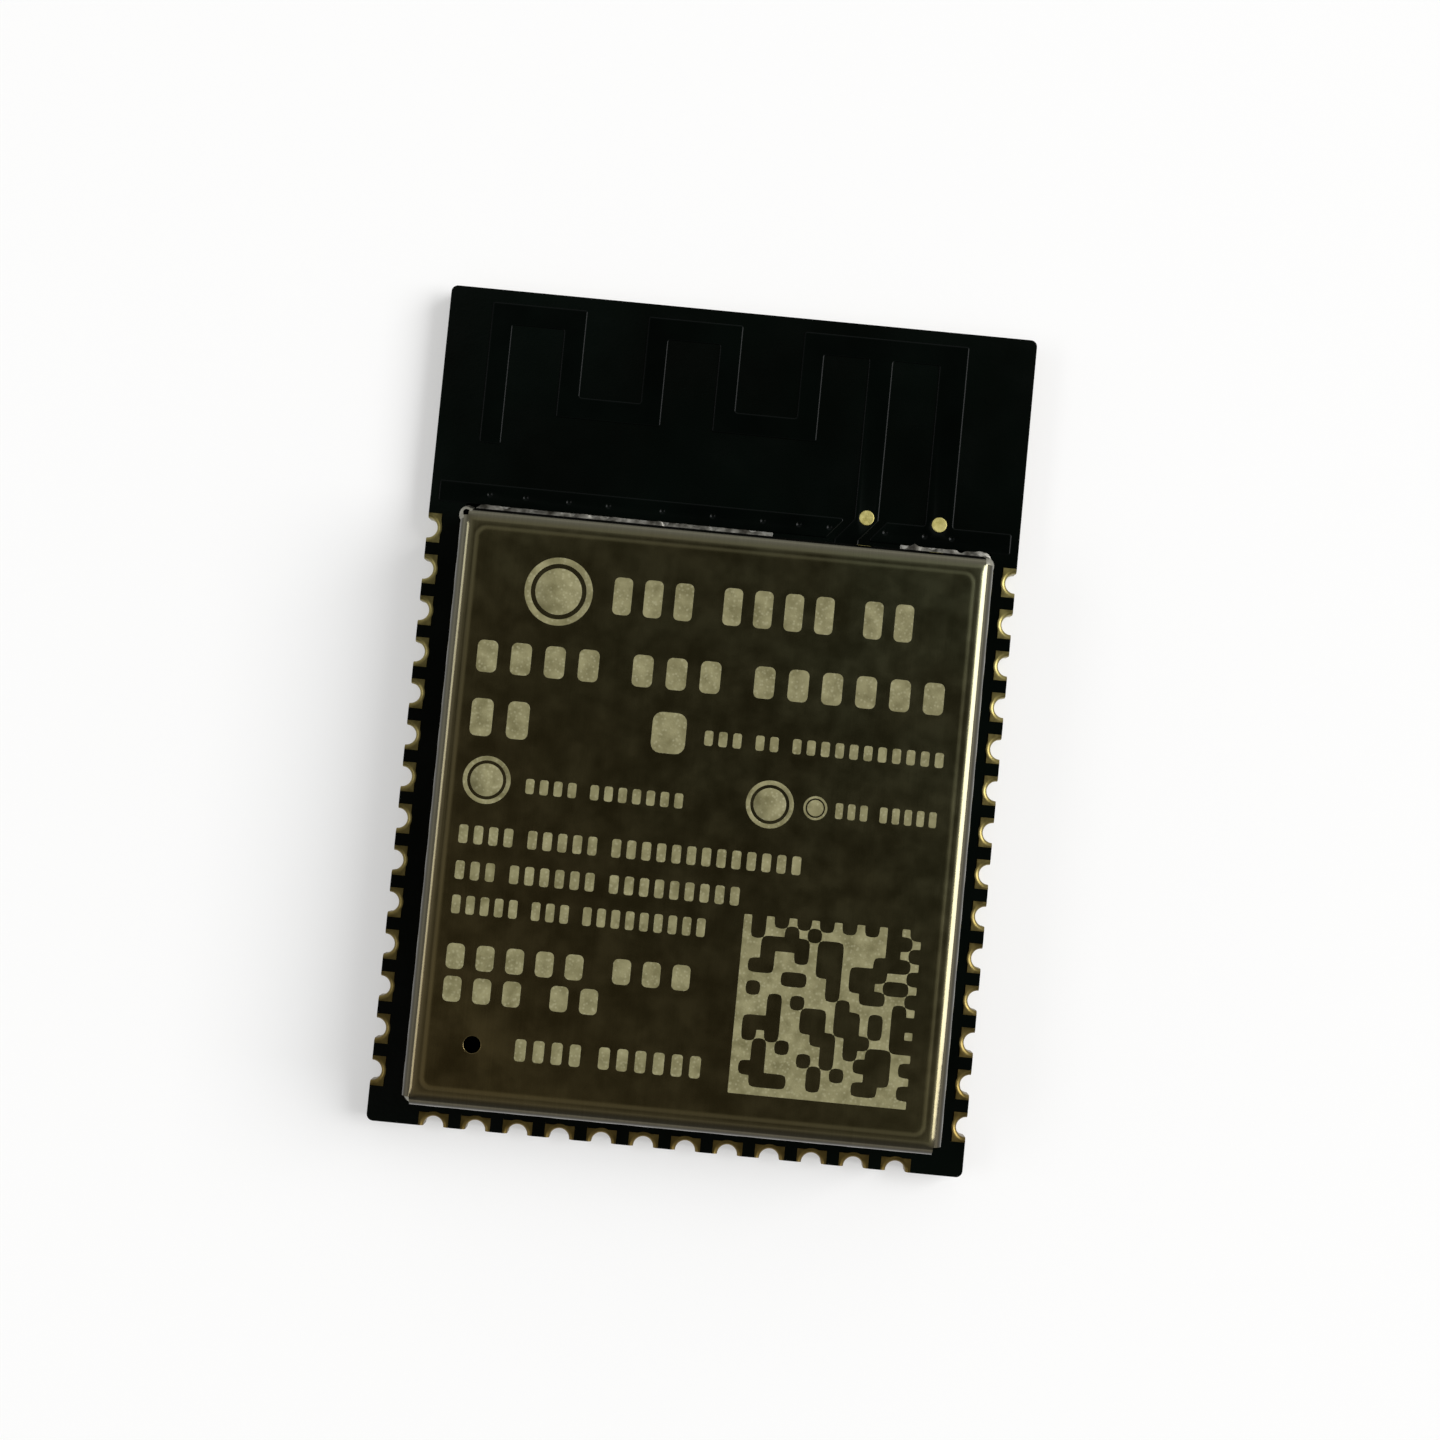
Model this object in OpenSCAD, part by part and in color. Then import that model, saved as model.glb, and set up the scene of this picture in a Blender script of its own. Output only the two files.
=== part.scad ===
// Wireless module: a black circuit board with a printed meander antenna at one end, plated half holes
// along its other three edges, and a folded sheet-metal can soldered over its circuit.
// Millimetres. The origin is the middle of the underside, +Y points to the antenna and +Z up.

/* [Board] */
// Width of the board across its two side rows of pads
board_w = 18; // [15.8:0.1:24]
// Length of the board from the bottom row of pads to the antenna edge
board_l = 25.5; // [22.6:0.1:32]
// Thickness of the laminate with its solder mask
board_t = 0.8; // [0.5:0.05:1.6]
// Radius of the board's routed corners
board_corner_r = 0.2; // [0.1:0.05:0.8]

/* [Edge pads] */
// Distance between neighbouring pads of a row
pad_pitch = 1.27; // [1.1:0.01:2]
// Smallest distance from the side edges of the board to the bottom row's end pads
bottom_row_inset = 1.5; // [1.4:0.1:3]
// Distance from the bottom edge of the board to the lowest pad of a side row
side_row_inset = 1.5; // [1.3:0.1:3]
// Width of a pad along the edge
pad_w = 0.9; // [0.75:0.05:1.05]
// Length of a pad's upper land, from the edge inwards
upper_land_l = 0.45; // [0.4:0.01:0.6]
// Length of a pad's lower land, from the edge inwards
lower_land_l = 0.85; // [0.6:0.05:1]
// Radius of the open half hole
half_hole_r = 0.3; // [0.2:0.02:0.34]
// Thickness of the copper in the lands and in the half holes
plating_t = 0.035; // [0.02:0.005:0.05]

/* [Ground pad] */
// Tiles along each side of the square ground pad
ground_tiles = 3; // [2:1:4]
// Side of one tile
tile_w = 0.9; // [0.6:0.1:1.2]
// Gap between two tiles
tile_gap = 0.5; // [0.2:0.1:0.8]
// Place of the ground pad across the board, from the middle of the can
ground_pad_x = -1.65; // [-1.8:0.05:-1.2]
// Place of the ground pad along the board, from the middle of the can
ground_pad_y = 0.6; // [0.3:0.01:0.7]

/* [Antenna] */
// Length of the antenna end of the board, beyond the ground copper
antenna_area_l = 6; // [5.3:0.05:7]
// Gap between the antenna and the end of the board
antenna_inset = 0.4; // [0.2:0.05:0.7]
// Width of the meander's trace
trace_w = 0.66; // [0.4:0.02:0.9]
// Thickness of the etched copper, which stands on the board
copper_t = 0.035; // [0.02:0.005:0.07]
// Length of the meander, over its two rows of bars
meander_l = 3.35; // [2.6:0.05:4.2]
// Distance between two legs that a lower bar joins
low_turn = 2.54; // [2.2:0.02:2.9]
// Distance between two legs that an upper bar joins
high_turn = 2.25; // [2:0.05:2.6]
// Place of the meander's first leg across the board
first_leg_x = 2.22; // [1.8:0.02:2.6]
// Length of the meander's open last leg
tail_l = 4.35; // [3.4:0.05:4.9]
// Place of the feed leg across the board
feed_leg_x = 4.3; // [3.7:0.05:4.9]
// Width of the feed leg
feed_leg_w = 0.74; // [0.6:0.02:0.9]
// Place of the ground leg across the board
ground_leg_x = 6.52; // [5.8:0.02:7.2]
// Width of the ground leg
ground_leg_w = 0.86; // [0.7:0.02:1]
// Diameter of the bare probe pad at the foot of each leg
probe_pad_d = 0.46; // [0.3:0.02:0.56]
// Distance from the edge of the ground strip to the middle of a probe pad
probe_gap = 0.07; // [0:0.01:0.15]
// Sideways run of the feed line from the feed leg to the can
feed_slant_w = 0.55; // [0.3:0.05:0.8]
// Length of the feed line under the can
feed_tail_l = 0.8; // [0.5:0.05:1]
// Gap between the feed line and the ground strip
feed_gap = 0.25; // [0.15:0.05:0.35]
// Length of the ground strip between the antenna end and the can's solder
strip_l = 0.65; // [0.4:0.05:1]
// Gap between the ground strip and the sides of the board
strip_gap = 0.25; // [0.15:0.05:0.5]
// Diameter of the dimple over a tented via
via_d = 0.2; // [0.14:0.02:0.24]
// Depth of the dimple over a tented via
via_depth = 0.015; // [0.008:0.001:0.018]
// Usual distance between two vias of the ground strip
via_pitch = 1.1; // [0.9:0.05:1.2]

/* [Shield can] */
// Gap between the can's walls and the side edges of the board
can_side_gap = 1.1; // [0.95:0.05:1.6]
// Gap between the can and the bottom edge of the board
can_foot_gap = 0.9; // [0.8:0.05:1.4]
// Sideways place of the can on the board, from the middle
can_x = 0.15; // [-0.2:0.05:0.2]
// Height of the can above the board
can_h = 2.3; // [1.6:0.05:3.2]
// Thickness of the can's sheet
sheet_t = 0.2; // [0.12:0.01:0.26]
// Outer radius of the folds along the can's four edges
bend_r = 0.42; // [0.3:0.02:0.7]
// Side of the open notch at each corner of the can
corner_notch_w = 0.27; // [0.15:0.01:0.35]
// Height that the middle panel of the can is pressed up
panel_rise_h = 0.04; // [0.02:0.01:0.1]
// Gap between the folds and the foot of the pressed panel
panel_gap = 0.06; // [0.04:0.02:0.6]
// Width of the slope round the pressed panel
panel_slope_w = 0.2; // [0.08:0.02:0.3]
// Radius of the pressed panel's corners
panel_corner_r = 0.4; // [0.4:0.05:1.2]
// Diameter of the marker hole at the first pad's corner
marker_d = 0.5; // [0.3:0.05:0.8]
// Distance from the marker hole to the two nearest walls
marker_inset = 1.95; // [1.5:0.05:2.4]
// Sideways distance from the feed line to the middle of the can's window over it
feed_window_inset = 0.3; // [0:0.05:0.5]
// Width of the window in the wall over the antenna feed
feed_window_w = 3.9; // [3:0.1:4.6]
// Height of the window in the wall over the antenna feed
feed_window_h = 0.6; // [0.3:0.05:0.9]

/* [Can solder] */
// Width of the solder in front of the wall that faces the antenna
north_solder_w = 0.37; // [0.2:0.01:0.4]
// Width of the solder along the other walls
side_solder_w = 0.13; // [0.08:0.01:0.18]
// Height of the solder against the walls
solder_h = 0.34; // [0.2:0.02:0.5]
// Width of the tinned frame under the can, inside its outer faces
can_land_w = 0.35; // [0.28:0.01:0.5]

/* [Processor] */
// Side of the square processor package
processor_w = 7; // [6:0.1:7.9]
// Height of the processor package
processor_h = 0.85; // [0.6:0.05:1.1]
// Distance between the processor's leads
processor_lead_pitch = 0.4; // [0.34:0.01:0.5]
// Width of a processor lead
processor_lead_w = 0.2; // [0.14:0.02:0.24]
// Gap between the leads of one side and those of the next
processor_lead_gap = 0.45; // [0.4:0.01:0.6]
// Side of the heat pad under the processor
heat_pad_w = 4; // [3:0.2:4.6]
// Diameter of the moulded dot that marks the processor's first lead
dot_d = 0.6; // [0.4:0.05:0.9]
// Distance from the dot to the processor's edges
dot_inset = 0.9; // [0.6:0.05:1.2]
// Depth of the dot
dot_depth = 0.05; // [0.02:0.01:0.1]

/* [Memory] */
// Width of the memory package
memory_w = 4; // [3:0.2:4.6]
// Length of the memory package
memory_l = 3; // [2.6:0.1:3.4]
// Height of the memory package
memory_h = 0.6; // [0.45:0.05:1]
// Distance between the memory's leads
memory_lead_pitch = 0.8; // [0.6:0.05:0.95]
// Width of a memory lead
memory_lead_w = 0.3; // [0.2:0.02:0.36]
// Gap between the memory's ends and its end leads
memory_lead_gap = 0.7; // [0.4:0.05:0.8]
// Gap between the processor and the memory
memory_gap = 0.6; // [0.4:0.05:1]

/* [Lead frames] */
// Length of a lead under its package
lead_l = 0.4; // [0.3:0.05:0.5]
// Thickness of the lead frames
lead_t = 0.2; // [0.12:0.02:0.24]

/* [Crystal] */
// Width of the crystal's ceramic base
crystal_w = 2.5; // [2.2:0.1:3.2]
// Length of the crystal's ceramic base
crystal_l = 2; // [1.7:0.1:2.4]
// Height of the ceramic base
crystal_base_h = 0.4; // [0.3:0.05:0.7]
// Thickness of the welded lid
crystal_lid_t = 0.12; // [0.1:0.01:0.25]
// Gap between the lid and the edge of the base
crystal_lid_gap = 0.15; // [0.1:0.01:0.2]
// Radius of the lid's corners
crystal_lid_r = 0.3; // [0.2:0.02:0.4]
// Radius of the quarter-round notches at the base's corners
crystal_notch_r = 0.18; // [0.1:0.02:0.22]
// Length of a pad under the crystal
crystal_pad_l = 0.8; // [0.6:0.05:1]
// Width of a pad under the crystal
crystal_pad_w = 0.65; // [0.5:0.05:0.75]
// Gap between the crystal and the processor
crystal_gap = 0.6; // [0.4:0.05:1]

/* [Chip parts] */
// Length of a capacitor, resistor or inductor
chip_l = 1; // [0.8:0.05:1.2]
// Width of a capacitor, resistor or inductor
chip_w = 0.5; // [0.35:0.05:0.6]
// Length of a metal end cap
end_cap_l = 0.25; // [0.15:0.01:0.3]
// Thickness by which the end caps stand proud of the body
end_cap_t = 0.02; // [0.01:0.005:0.04]
// Height of a capacitor
capacitor_h = 0.5; // [0.3:0.05:0.8]
// Height of a resistor
resistor_h = 0.35; // [0.25:0.05:0.5]
// Height of an inductor
inductor_h = 0.55; // [0.35:0.05:0.8]
// Gap between a package and the chip parts beside it
chip_gap = 0.4; // [0.25:0.05:0.6]
// Distance between the chip parts beside the processor
chip_pitch = 1.3; // [1.1:0.05:1.5]
// Distance between the resistors beside the memory
resistor_pitch = 0.9; // [0.7:0.05:1.1]

/* [Hidden] */
$fn = 48;
// Overshoot of a cutting shape past the face that it cuts
cut = 0.1;

// Edges of the board, seen from above
edge_x = board_w / 2;
edge_y = board_l / 2;

// Ground strip below the antenna end of the board
strip_north = edge_y - antenna_area_l;
strip_south = strip_north - strip_l;
strip_y = (strip_north + strip_south) / 2;

// The can stands between the side edges, the bottom edge and the ground strip with its solder
can_w = board_w - 2 * can_side_gap;
can_south = can_foot_gap - edge_y;
can_north = strip_south - north_solder_w;
can_l = can_north - can_south;
can_y = (can_south + can_north) / 2;
// Height of the can's flat rim, below its pressed panel
rim_h = can_h - panel_rise_h;

// Pads fill the side edges up to the antenna end, and the bottom edge
side_pad_count = 1 + floor((board_l - antenna_area_l - side_row_inset - pad_w / 2) / pad_pitch);
bottom_pad_count = 1 + floor((board_w - 2 * bottom_row_inset) / pad_pitch);
// The drilled hole is wider than the plated one by the copper
drill_r = half_hole_r + plating_t;

// The meander's legs go down in pairs: a lower bar joins legs 1-2 and 3-4, an upper bar 2-3 and 4-5
leg_x = [
    first_leg_x,
    first_leg_x - low_turn,
    first_leg_x - low_turn - high_turn,
    first_leg_x - 2 * low_turn - high_turn,
    first_leg_x - 2 * low_turn - 2 * high_turn
];
antenna_top = edge_y - antenna_inset;
upper_bar_y = antenna_top - trace_w / 2;
lower_bar_y = antenna_top - meander_l + trace_w / 2;
// The probe pads lie over the strip's edge
probe_y = strip_north + probe_gap;

// The feed line slants across the strip to the can's window, and ends at the matching parts
feed_x = feed_leg_x - feed_slant_w;
feed_end_y = can_north - sheet_t - feed_tail_l;
feed_window_x = feed_x - feed_window_inset;
// Vias of the strip, in steps of their pitch from where the feed line crosses it
via_steps = [-10.2, -9.2, -8, -6.9, -5.4, -4, -2.6, -1.6, -0.75, 0.8, 1.9, 2.65];
via_x = [for (step = via_steps) feed_leg_x - feed_slant_w / 2 + step * via_pitch];

// The processor lies over the ground pad, with the memory below it and the crystal above it
processor_x = can_x + ground_pad_x;
processor_y = can_y + ground_pad_y;
processor_side = processor_w / 2;
processor_lead_row_l = processor_w - 2 * lead_l - 2 * processor_lead_gap;
processor_lead_count = 1 + floor(processor_lead_row_l / processor_lead_pitch);
memory_x = processor_x;
memory_y = processor_y - processor_side - memory_gap - memory_l / 2;
memory_lead_count = 1 + floor((memory_w - 2 * memory_lead_gap) / memory_lead_pitch);
crystal_x = processor_x - processor_side + crystal_w / 2;
crystal_y = processor_y + processor_side + crystal_gap + crystal_l / 2;

// Chip parts as [x, y, turn]: columns beside the processor and the memory, a row above the processor,
// and the antenna's matching parts at the end of the feed line
chip_reach = chip_gap + chip_l / 2;
column_left = processor_x - processor_side - chip_reach;
column_right = processor_x + processor_side + chip_reach;
column_far_right = column_right + chip_l + chip_gap;
row_above = processor_y + processor_side + chip_reach;
matching_y = feed_end_y - chip_l / 2;
capacitor_places = concat(
    [for (k = [-2 : 2]) [column_left, processor_y + k * chip_pitch, 0]],
    [for (k = [-2 : 1]) [column_right, processor_y + k * chip_pitch, 0]],
    [for (k = [1 : 2]) [processor_x + k * chip_pitch, row_above, 90]],
    [for (side = [-1, 1]) [feed_x + side * (chip_w / 2 + chip_reach), matching_y, 0]]
);
resistor_places = [
    for (side = [-1, 1], k = [-1 : 1])
        [memory_x + side * (memory_w / 2 + chip_reach), memory_y + k * resistor_pitch, 0]
];
inductor_places = [
    [feed_x, matching_y, 90],
    [column_far_right, processor_y + chip_pitch, 0],
    [column_far_right, processor_y, 0]
];

// Puts its children at each pad of a side row, with the board's edge at x = 0 and the board at x < 0
module along_side(side) {
    for (k = [0 : side_pad_count - 1])
        translate([side * edge_x, side_row_inset - edge_y + k * pad_pitch, 0])
            rotate(side > 0 ? 0 : 180)
                children();
}

// Puts its children at each pad of the bottom row, turned the same way
module along_bottom() {
    for (k = [0 : bottom_pad_count - 1])
        translate([(k - (bottom_pad_count - 1) / 2) * pad_pitch, -edge_y, 0])
            rotate(-90)
                children();
}

// Puts its children at each tile of the ground pad
module at_tiles() {
    step = tile_w + tile_gap;
    for (row = [0 : ground_tiles - 1], column = [0 : ground_tiles - 1])
        translate([
            processor_x + (column - (ground_tiles - 1) / 2) * step,
            processor_y + (row - (ground_tiles - 1) / 2) * step,
            0
        ])
            children();
}

// Rounded rectangle about the origin
module rounded_rectangle(w, l, r) {
    square([w, l - 2 * r], center = true);
    square([w - 2 * r, l], center = true);
    for (x = [-1, 1], y = [-1, 1])
        translate([x * (w / 2 - r), y * (l / 2 - r)])
            circle(r);
}

// The space that one edge pad takes up in the board: its two lands and its drilled half hole
module edge_pad_space(past = 0) {
    translate([-upper_land_l, -pad_w / 2, board_t - plating_t])
        cube([upper_land_l + past, pad_w, plating_t + past]);
    translate([-lower_land_l, -pad_w / 2, -past])
        cube([lower_land_l + past, pad_w, plating_t + past]);
    intersection() {
        translate([0, 0, -past])
            cylinder(r = drill_r, h = board_t + 2 * past);
        translate([-drill_r, -drill_r, -past])
            cube([drill_r + past, 2 * drill_r, board_t + 2 * past]);
    }
}

// One edge pad: lands above and below, joined by the plated wall of the half hole
module edge_pad() {
    difference() {
        edge_pad_space();
        translate([0, 0, -cut])
            cylinder(r = half_hole_r, h = board_t + 2 * cut);
    }
}

// Outline of the tinned frame that the can stands on, open where the feed line passes
module can_land_outline() {
    difference() {
        translate([can_x - can_w / 2 - side_solder_w, can_south - side_solder_w])
            square([can_w + 2 * side_solder_w, can_l + side_solder_w + north_solder_w]);
        translate([can_x - can_w / 2 + can_land_w, can_south + can_land_w])
            square([can_w - 2 * can_land_w, can_l - 2 * can_land_w]);
        translate([feed_window_x - feed_window_w / 2, can_north - can_land_w - cut])
            square([feed_window_w, can_land_w + north_solder_w + 2 * cut]);
    }
}

module circuit_board() {
    color([0.03, 0.035, 0.03])
        difference() {
            linear_extrude(board_t)
                rounded_rectangle(board_w, board_l, board_corner_r);
            for (side = [-1, 1])
                along_side(side)
                    edge_pad_space(cut);
            along_bottom()
                edge_pad_space(cut);
            at_tiles()
                translate([-tile_w / 2, -tile_w / 2, -cut])
                    cube([tile_w, tile_w, plating_t + cut]);
            translate([0, 0, board_t - plating_t])
                linear_extrude(plating_t + cut)
                    can_land_outline();
        }
}

// A straight trace between two points that share an x or a y, with square ends
module trace(from, to, w) {
    low = [min(from.x, to.x), min(from.y, to.y)];
    high = [max(from.x, to.x), max(from.y, to.y)];
    translate(low - [w / 2, w / 2])
        square(high - low + [w, w]);
}

// The antenna: a bar along the end, the meander below it, and the ground leg
module antenna_outline() {
    trace([leg_x[0], upper_bar_y], [ground_leg_x + (ground_leg_w - trace_w) / 2, upper_bar_y], trace_w);
    for (k = [0 : 3])
        trace([leg_x[k], upper_bar_y], [leg_x[k], lower_bar_y], trace_w);
    for (k = [0, 2])
        trace([leg_x[k], lower_bar_y], [leg_x[k + 1], lower_bar_y], trace_w);
    for (k = [1, 3])
        trace([leg_x[k], upper_bar_y], [leg_x[k + 1], upper_bar_y], trace_w);
    translate([leg_x[4] - trace_w / 2, antenna_top - tail_l])
        square([trace_w, tail_l]);
    translate([ground_leg_x - ground_leg_w / 2, strip_south])
        square([ground_leg_w, antenna_top - strip_south]);
}

// The feed: a leg down from the antenna's bar, a slant across the ground strip and a straight end under the
// can's window
module feed_outline() {
    half = feed_leg_w / 2;
    polygon([
        [feed_leg_x + half, antenna_top],
        [feed_leg_x - half, antenna_top],
        [feed_leg_x - half, strip_north],
        [feed_x - half, strip_south],
        [feed_x - half, feed_end_y],
        [feed_x + half, feed_end_y],
        [feed_x + half, strip_south],
        [feed_leg_x + half, strip_north]
    ]);
}

// The ground strip, parted by the feed line and its gaps
module ground_strip_outline() {
    half = feed_leg_w / 2 + feed_gap;
    difference() {
        translate([strip_gap - edge_x, strip_south])
            square([board_w - 2 * strip_gap, strip_north - strip_south]);
        polygon([
            [feed_leg_x - half, strip_north + cut],
            [feed_leg_x + half, strip_north + cut],
            [feed_leg_x + half, strip_north],
            [feed_x + half, strip_south],
            [feed_x + half, strip_south - cut],
            [feed_x - half, strip_south - cut],
            [feed_x - half, strip_south],
            [feed_leg_x - half, strip_north]
        ]);
    }
}

module antenna_copper() {
    // A shallow ball cut that leaves a dimple of the wanted width and depth
    via_ball_r = (pow(via_d / 2, 2) + pow(via_depth, 2)) / (2 * via_depth);
    color([0.05, 0.055, 0.045])
        translate([0, 0, board_t])
            difference() {
                linear_extrude(copper_t)
                    difference() {
                        union() {
                            antenna_outline();
                            feed_outline();
                            ground_strip_outline();
                        }
                        at_probe_pads()
                            circle(d = probe_pad_d);
                    }
                for (x = via_x)
                    translate([x, strip_y, copper_t - via_depth + via_ball_r])
                        sphere(via_ball_r);
            }
}

// Puts its children at the feet of the feed leg and the ground leg
module at_probe_pads() {
    for (x = [feed_leg_x, ground_leg_x])
        translate([x, probe_y])
            children();
}

module probe_pads() {
    color([0.83, 0.69, 0.36])
        at_probe_pads()
            translate([0, 0, board_t])
                cylinder(d = probe_pad_d, h = copper_t);
}

module left_edge_pads() {
    color([0.83, 0.69, 0.36])
        along_side(-1)
            edge_pad();
}

module right_edge_pads() {
    color([0.83, 0.69, 0.36])
        along_side(1)
            edge_pad();
}

module bottom_edge_pads() {
    color([0.83, 0.69, 0.36])
        along_bottom()
            edge_pad();
}

module ground_pad() {
    color([0.83, 0.69, 0.36])
        at_tiles()
            translate([-tile_w / 2, -tile_w / 2, 0])
                cube([tile_w, tile_w, plating_t]);
}

module can_land() {
    color([0.7, 0.71, 0.7])
        translate([0, 0, board_t - plating_t])
            linear_extrude(plating_t)
                can_land_outline();
}

// Section of the solder against a wall at x = 0: hollow, with a thin toe
module fillet_section(reach) {
    toe = solder_h / 12;
    sag = 0.38;
    polygon([[0, 0], [reach, 0], [reach, toe], [sag * reach, sag * solder_h], [0, solder_h]]);
}

// A straight run of solder along Y, centred, against a wall at x = 0
module fillet_run(run, reach) {
    translate([0, run / 2, 0])
        rotate([90, 0, 0])
            linear_extrude(run)
                fillet_section(reach);
}

// A quarter turn of solder round an open corner of the can
module fillet_corner() {
    rotate_extrude(angle = 90)
        translate([corner_notch_w, 0])
            fillet_section(side_solder_w);
}

module can_solder() {
    wall_x = can_w / 2;
    wall_y = can_l / 2;
    corner_x = wall_x - corner_notch_w;
    corner_y = wall_y - corner_notch_w;
    window_low = feed_window_x - can_x - feed_window_w / 2;
    window_high = feed_window_x - can_x + feed_window_w / 2;
    color([0.78, 0.79, 0.78])
        translate([can_x, can_y, board_t]) {
            for (side = [-1, 1])
                translate([side * wall_x, 0, 0])
                    rotate(side > 0 ? 0 : 180)
                        fillet_run(2 * corner_y, side_solder_w);
            translate([0, -wall_y, 0])
                rotate(-90)
                    fillet_run(2 * corner_x, side_solder_w);
            translate([(window_low - corner_x) / 2, wall_y, 0])
                rotate(90)
                    fillet_run(window_low + corner_x, north_solder_w);
            translate([(window_high + corner_x) / 2, wall_y, 0])
                rotate(90)
                    fillet_run(corner_x - window_high, north_solder_w);
            translate([corner_x, corner_y, 0])
                fillet_corner();
            translate([-corner_x, corner_y, 0])
                rotate(90)
                    fillet_corner();
            translate([-corner_x, -corner_y, 0])
                rotate(180)
                    fillet_corner();
        }
}

// Section of one folded side of the can: the wall and the bend above it, with its outer face at x = 0
module side_section() {
    translate([-sheet_t, 0])
        square([sheet_t, rim_h - bend_r]);
    translate([-bend_r, rim_h - bend_r])
        intersection() {
            difference() {
                circle(bend_r);
                circle(bend_r - sheet_t);
            }
            square(bend_r);
        }
}

// A folded side that runs along Y, centred
module folded_side(run) {
    translate([0, run / 2, 0])
        rotate([90, 0, 0])
            linear_extrude(run)
                side_section();
}

// Low plateau with sloped sides and rounded corners, standing on z = 0
module plateau(w, l) {
    r = panel_corner_r;
    for (turn = [0, 90]) {
        across = turn == 0 ? w : l;
        along = turn == 0 ? l : w;
        rotate(turn)
            translate([0, along / 2 - r, 0])
                rotate([90, 0, 0])
                    linear_extrude(along - 2 * r)
                        polygon([
                            [-across / 2, 0],
                            [across / 2, 0],
                            [across / 2 - panel_slope_w, panel_rise_h],
                            [panel_slope_w - across / 2, panel_rise_h]
                        ]);
    }
    for (x = [-1, 1], y = [-1, 1])
        translate([x * (w / 2 - r), y * (l / 2 - r), 0])
            cylinder(r1 = r, r2 = r - panel_slope_w, h = panel_rise_h);
}

module shield_can() {
    flat_w = can_w - 2 * bend_r;
    flat_l = can_l - 2 * bend_r;
    panel_w = flat_w - 2 * panel_gap;
    panel_l = flat_l - 2 * panel_gap;
    color([0.42, 0.4, 0.32])
        translate([can_x, can_y, board_t])
            difference() {
                union() {
                    translate([-flat_w / 2, -flat_l / 2, rim_h - sheet_t])
                        cube([flat_w, flat_l, sheet_t]);
                    translate([0, 0, rim_h])
                        plateau(panel_w, panel_l);
                    for (side = [-1, 1]) {
                        rotate(side > 0 ? 0 : 180)
                            translate([can_w / 2, 0, 0])
                                folded_side(can_l - 2 * corner_notch_w);
                        rotate(side * 90)
                            translate([can_l / 2, 0, 0])
                                folded_side(can_w - 2 * corner_notch_w);
                    }
                }
                // The underside of the pressed panel
                translate([0, 0, rim_h - sheet_t])
                    plateau(panel_w, panel_l);
                // Marker hole by the first pad
                translate([marker_inset - can_w / 2, marker_inset - can_l / 2, rim_h - sheet_t - cut])
                    cylinder(d = marker_d, h = sheet_t + panel_rise_h + 2 * cut);
                // Window over the antenna feed
                translate([feed_window_x - can_x - feed_window_w / 2, can_l / 2 - sheet_t - cut, -cut])
                    cube([feed_window_w, sheet_t + 2 * cut, feed_window_h + cut]);
            }
}

// Puts its children at each lead of a package, with the package's edge at x = 0 and its body at x < 0
module at_leads(w, count, pitch, turns) {
    for (turn = turns, k = [0 : count - 1])
        rotate(turn)
            translate([w / 2, (k - (count - 1) / 2) * pitch, 0])
                children();
}

// One lead under the edge of a package
module lead(lead_w) {
    translate([-lead_l, -lead_w / 2, 0])
        cube([lead_l, lead_w, lead_t]);
}

// All leads of the processor, with the heat pad in the middle
module processor_metal() {
    at_leads(processor_w, processor_lead_count, processor_lead_pitch, [0, 90, 180, 270])
        lead(processor_lead_w);
    translate([-heat_pad_w / 2, -heat_pad_w / 2, 0])
        cube([heat_pad_w, heat_pad_w, lead_t]);
}

module processor_body() {
    color([0.13, 0.13, 0.14])
        translate([processor_x, processor_y, board_t])
            difference() {
                translate([-processor_side, -processor_side, 0])
                    cube([processor_w, processor_w, processor_h]);
                processor_metal();
                translate([dot_inset - processor_side, processor_side - dot_inset, processor_h - dot_depth])
                    cylinder(d = dot_d, h = dot_depth + cut);
            }
}

module processor_leads() {
    color([0.75, 0.74, 0.7])
        translate([processor_x, processor_y, board_t])
            processor_metal();
}

// All leads of the memory, along its two long edges
module memory_metal() {
    at_leads(memory_l, memory_lead_count, memory_lead_pitch, [90, 270])
        lead(memory_lead_w);
}

module memory_body() {
    color([0.14, 0.14, 0.15])
        translate([memory_x, memory_y, board_t])
            difference() {
                translate([-memory_w / 2, -memory_l / 2, 0])
                    cube([memory_w, memory_l, memory_h]);
                memory_metal();
            }
}

module memory_leads() {
    color([0.75, 0.74, 0.7])
        translate([memory_x, memory_y, board_t])
            memory_metal();
}

module crystal_pads() {
    color([0.83, 0.69, 0.36])
        translate([crystal_x, crystal_y, board_t])
            for (x = [-1, 1], y = [-1, 1])
                translate([x * (crystal_w - crystal_pad_l) / 2, y * (crystal_l - crystal_pad_w) / 2, 0])
                    linear_extrude(plating_t)
                        square([crystal_pad_l, crystal_pad_w], center = true);
}

module crystal_base() {
    color([0.86, 0.84, 0.78])
        translate([crystal_x, crystal_y, board_t + plating_t])
            linear_extrude(crystal_base_h)
                difference() {
                    square([crystal_w, crystal_l], center = true);
                    for (x = [-1, 1], y = [-1, 1])
                        translate([x * crystal_w / 2, y * crystal_l / 2])
                            circle(crystal_notch_r);
                }
}

module crystal_lid() {
    lid_w = crystal_w - 2 * crystal_lid_gap;
    lid_l = crystal_l - 2 * crystal_lid_gap;
    color([0.8, 0.79, 0.75])
        translate([crystal_x, crystal_y, board_t + plating_t + crystal_base_h])
            linear_extrude(crystal_lid_t)
                rounded_rectangle(lid_w, lid_l, crystal_lid_r);
}

// Puts its children at each place of a list of [x, y, turn]
module at_places(places) {
    for (place = places)
        translate([place.x, place.y, board_t])
            rotate(place.z)
                children();
}

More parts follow.
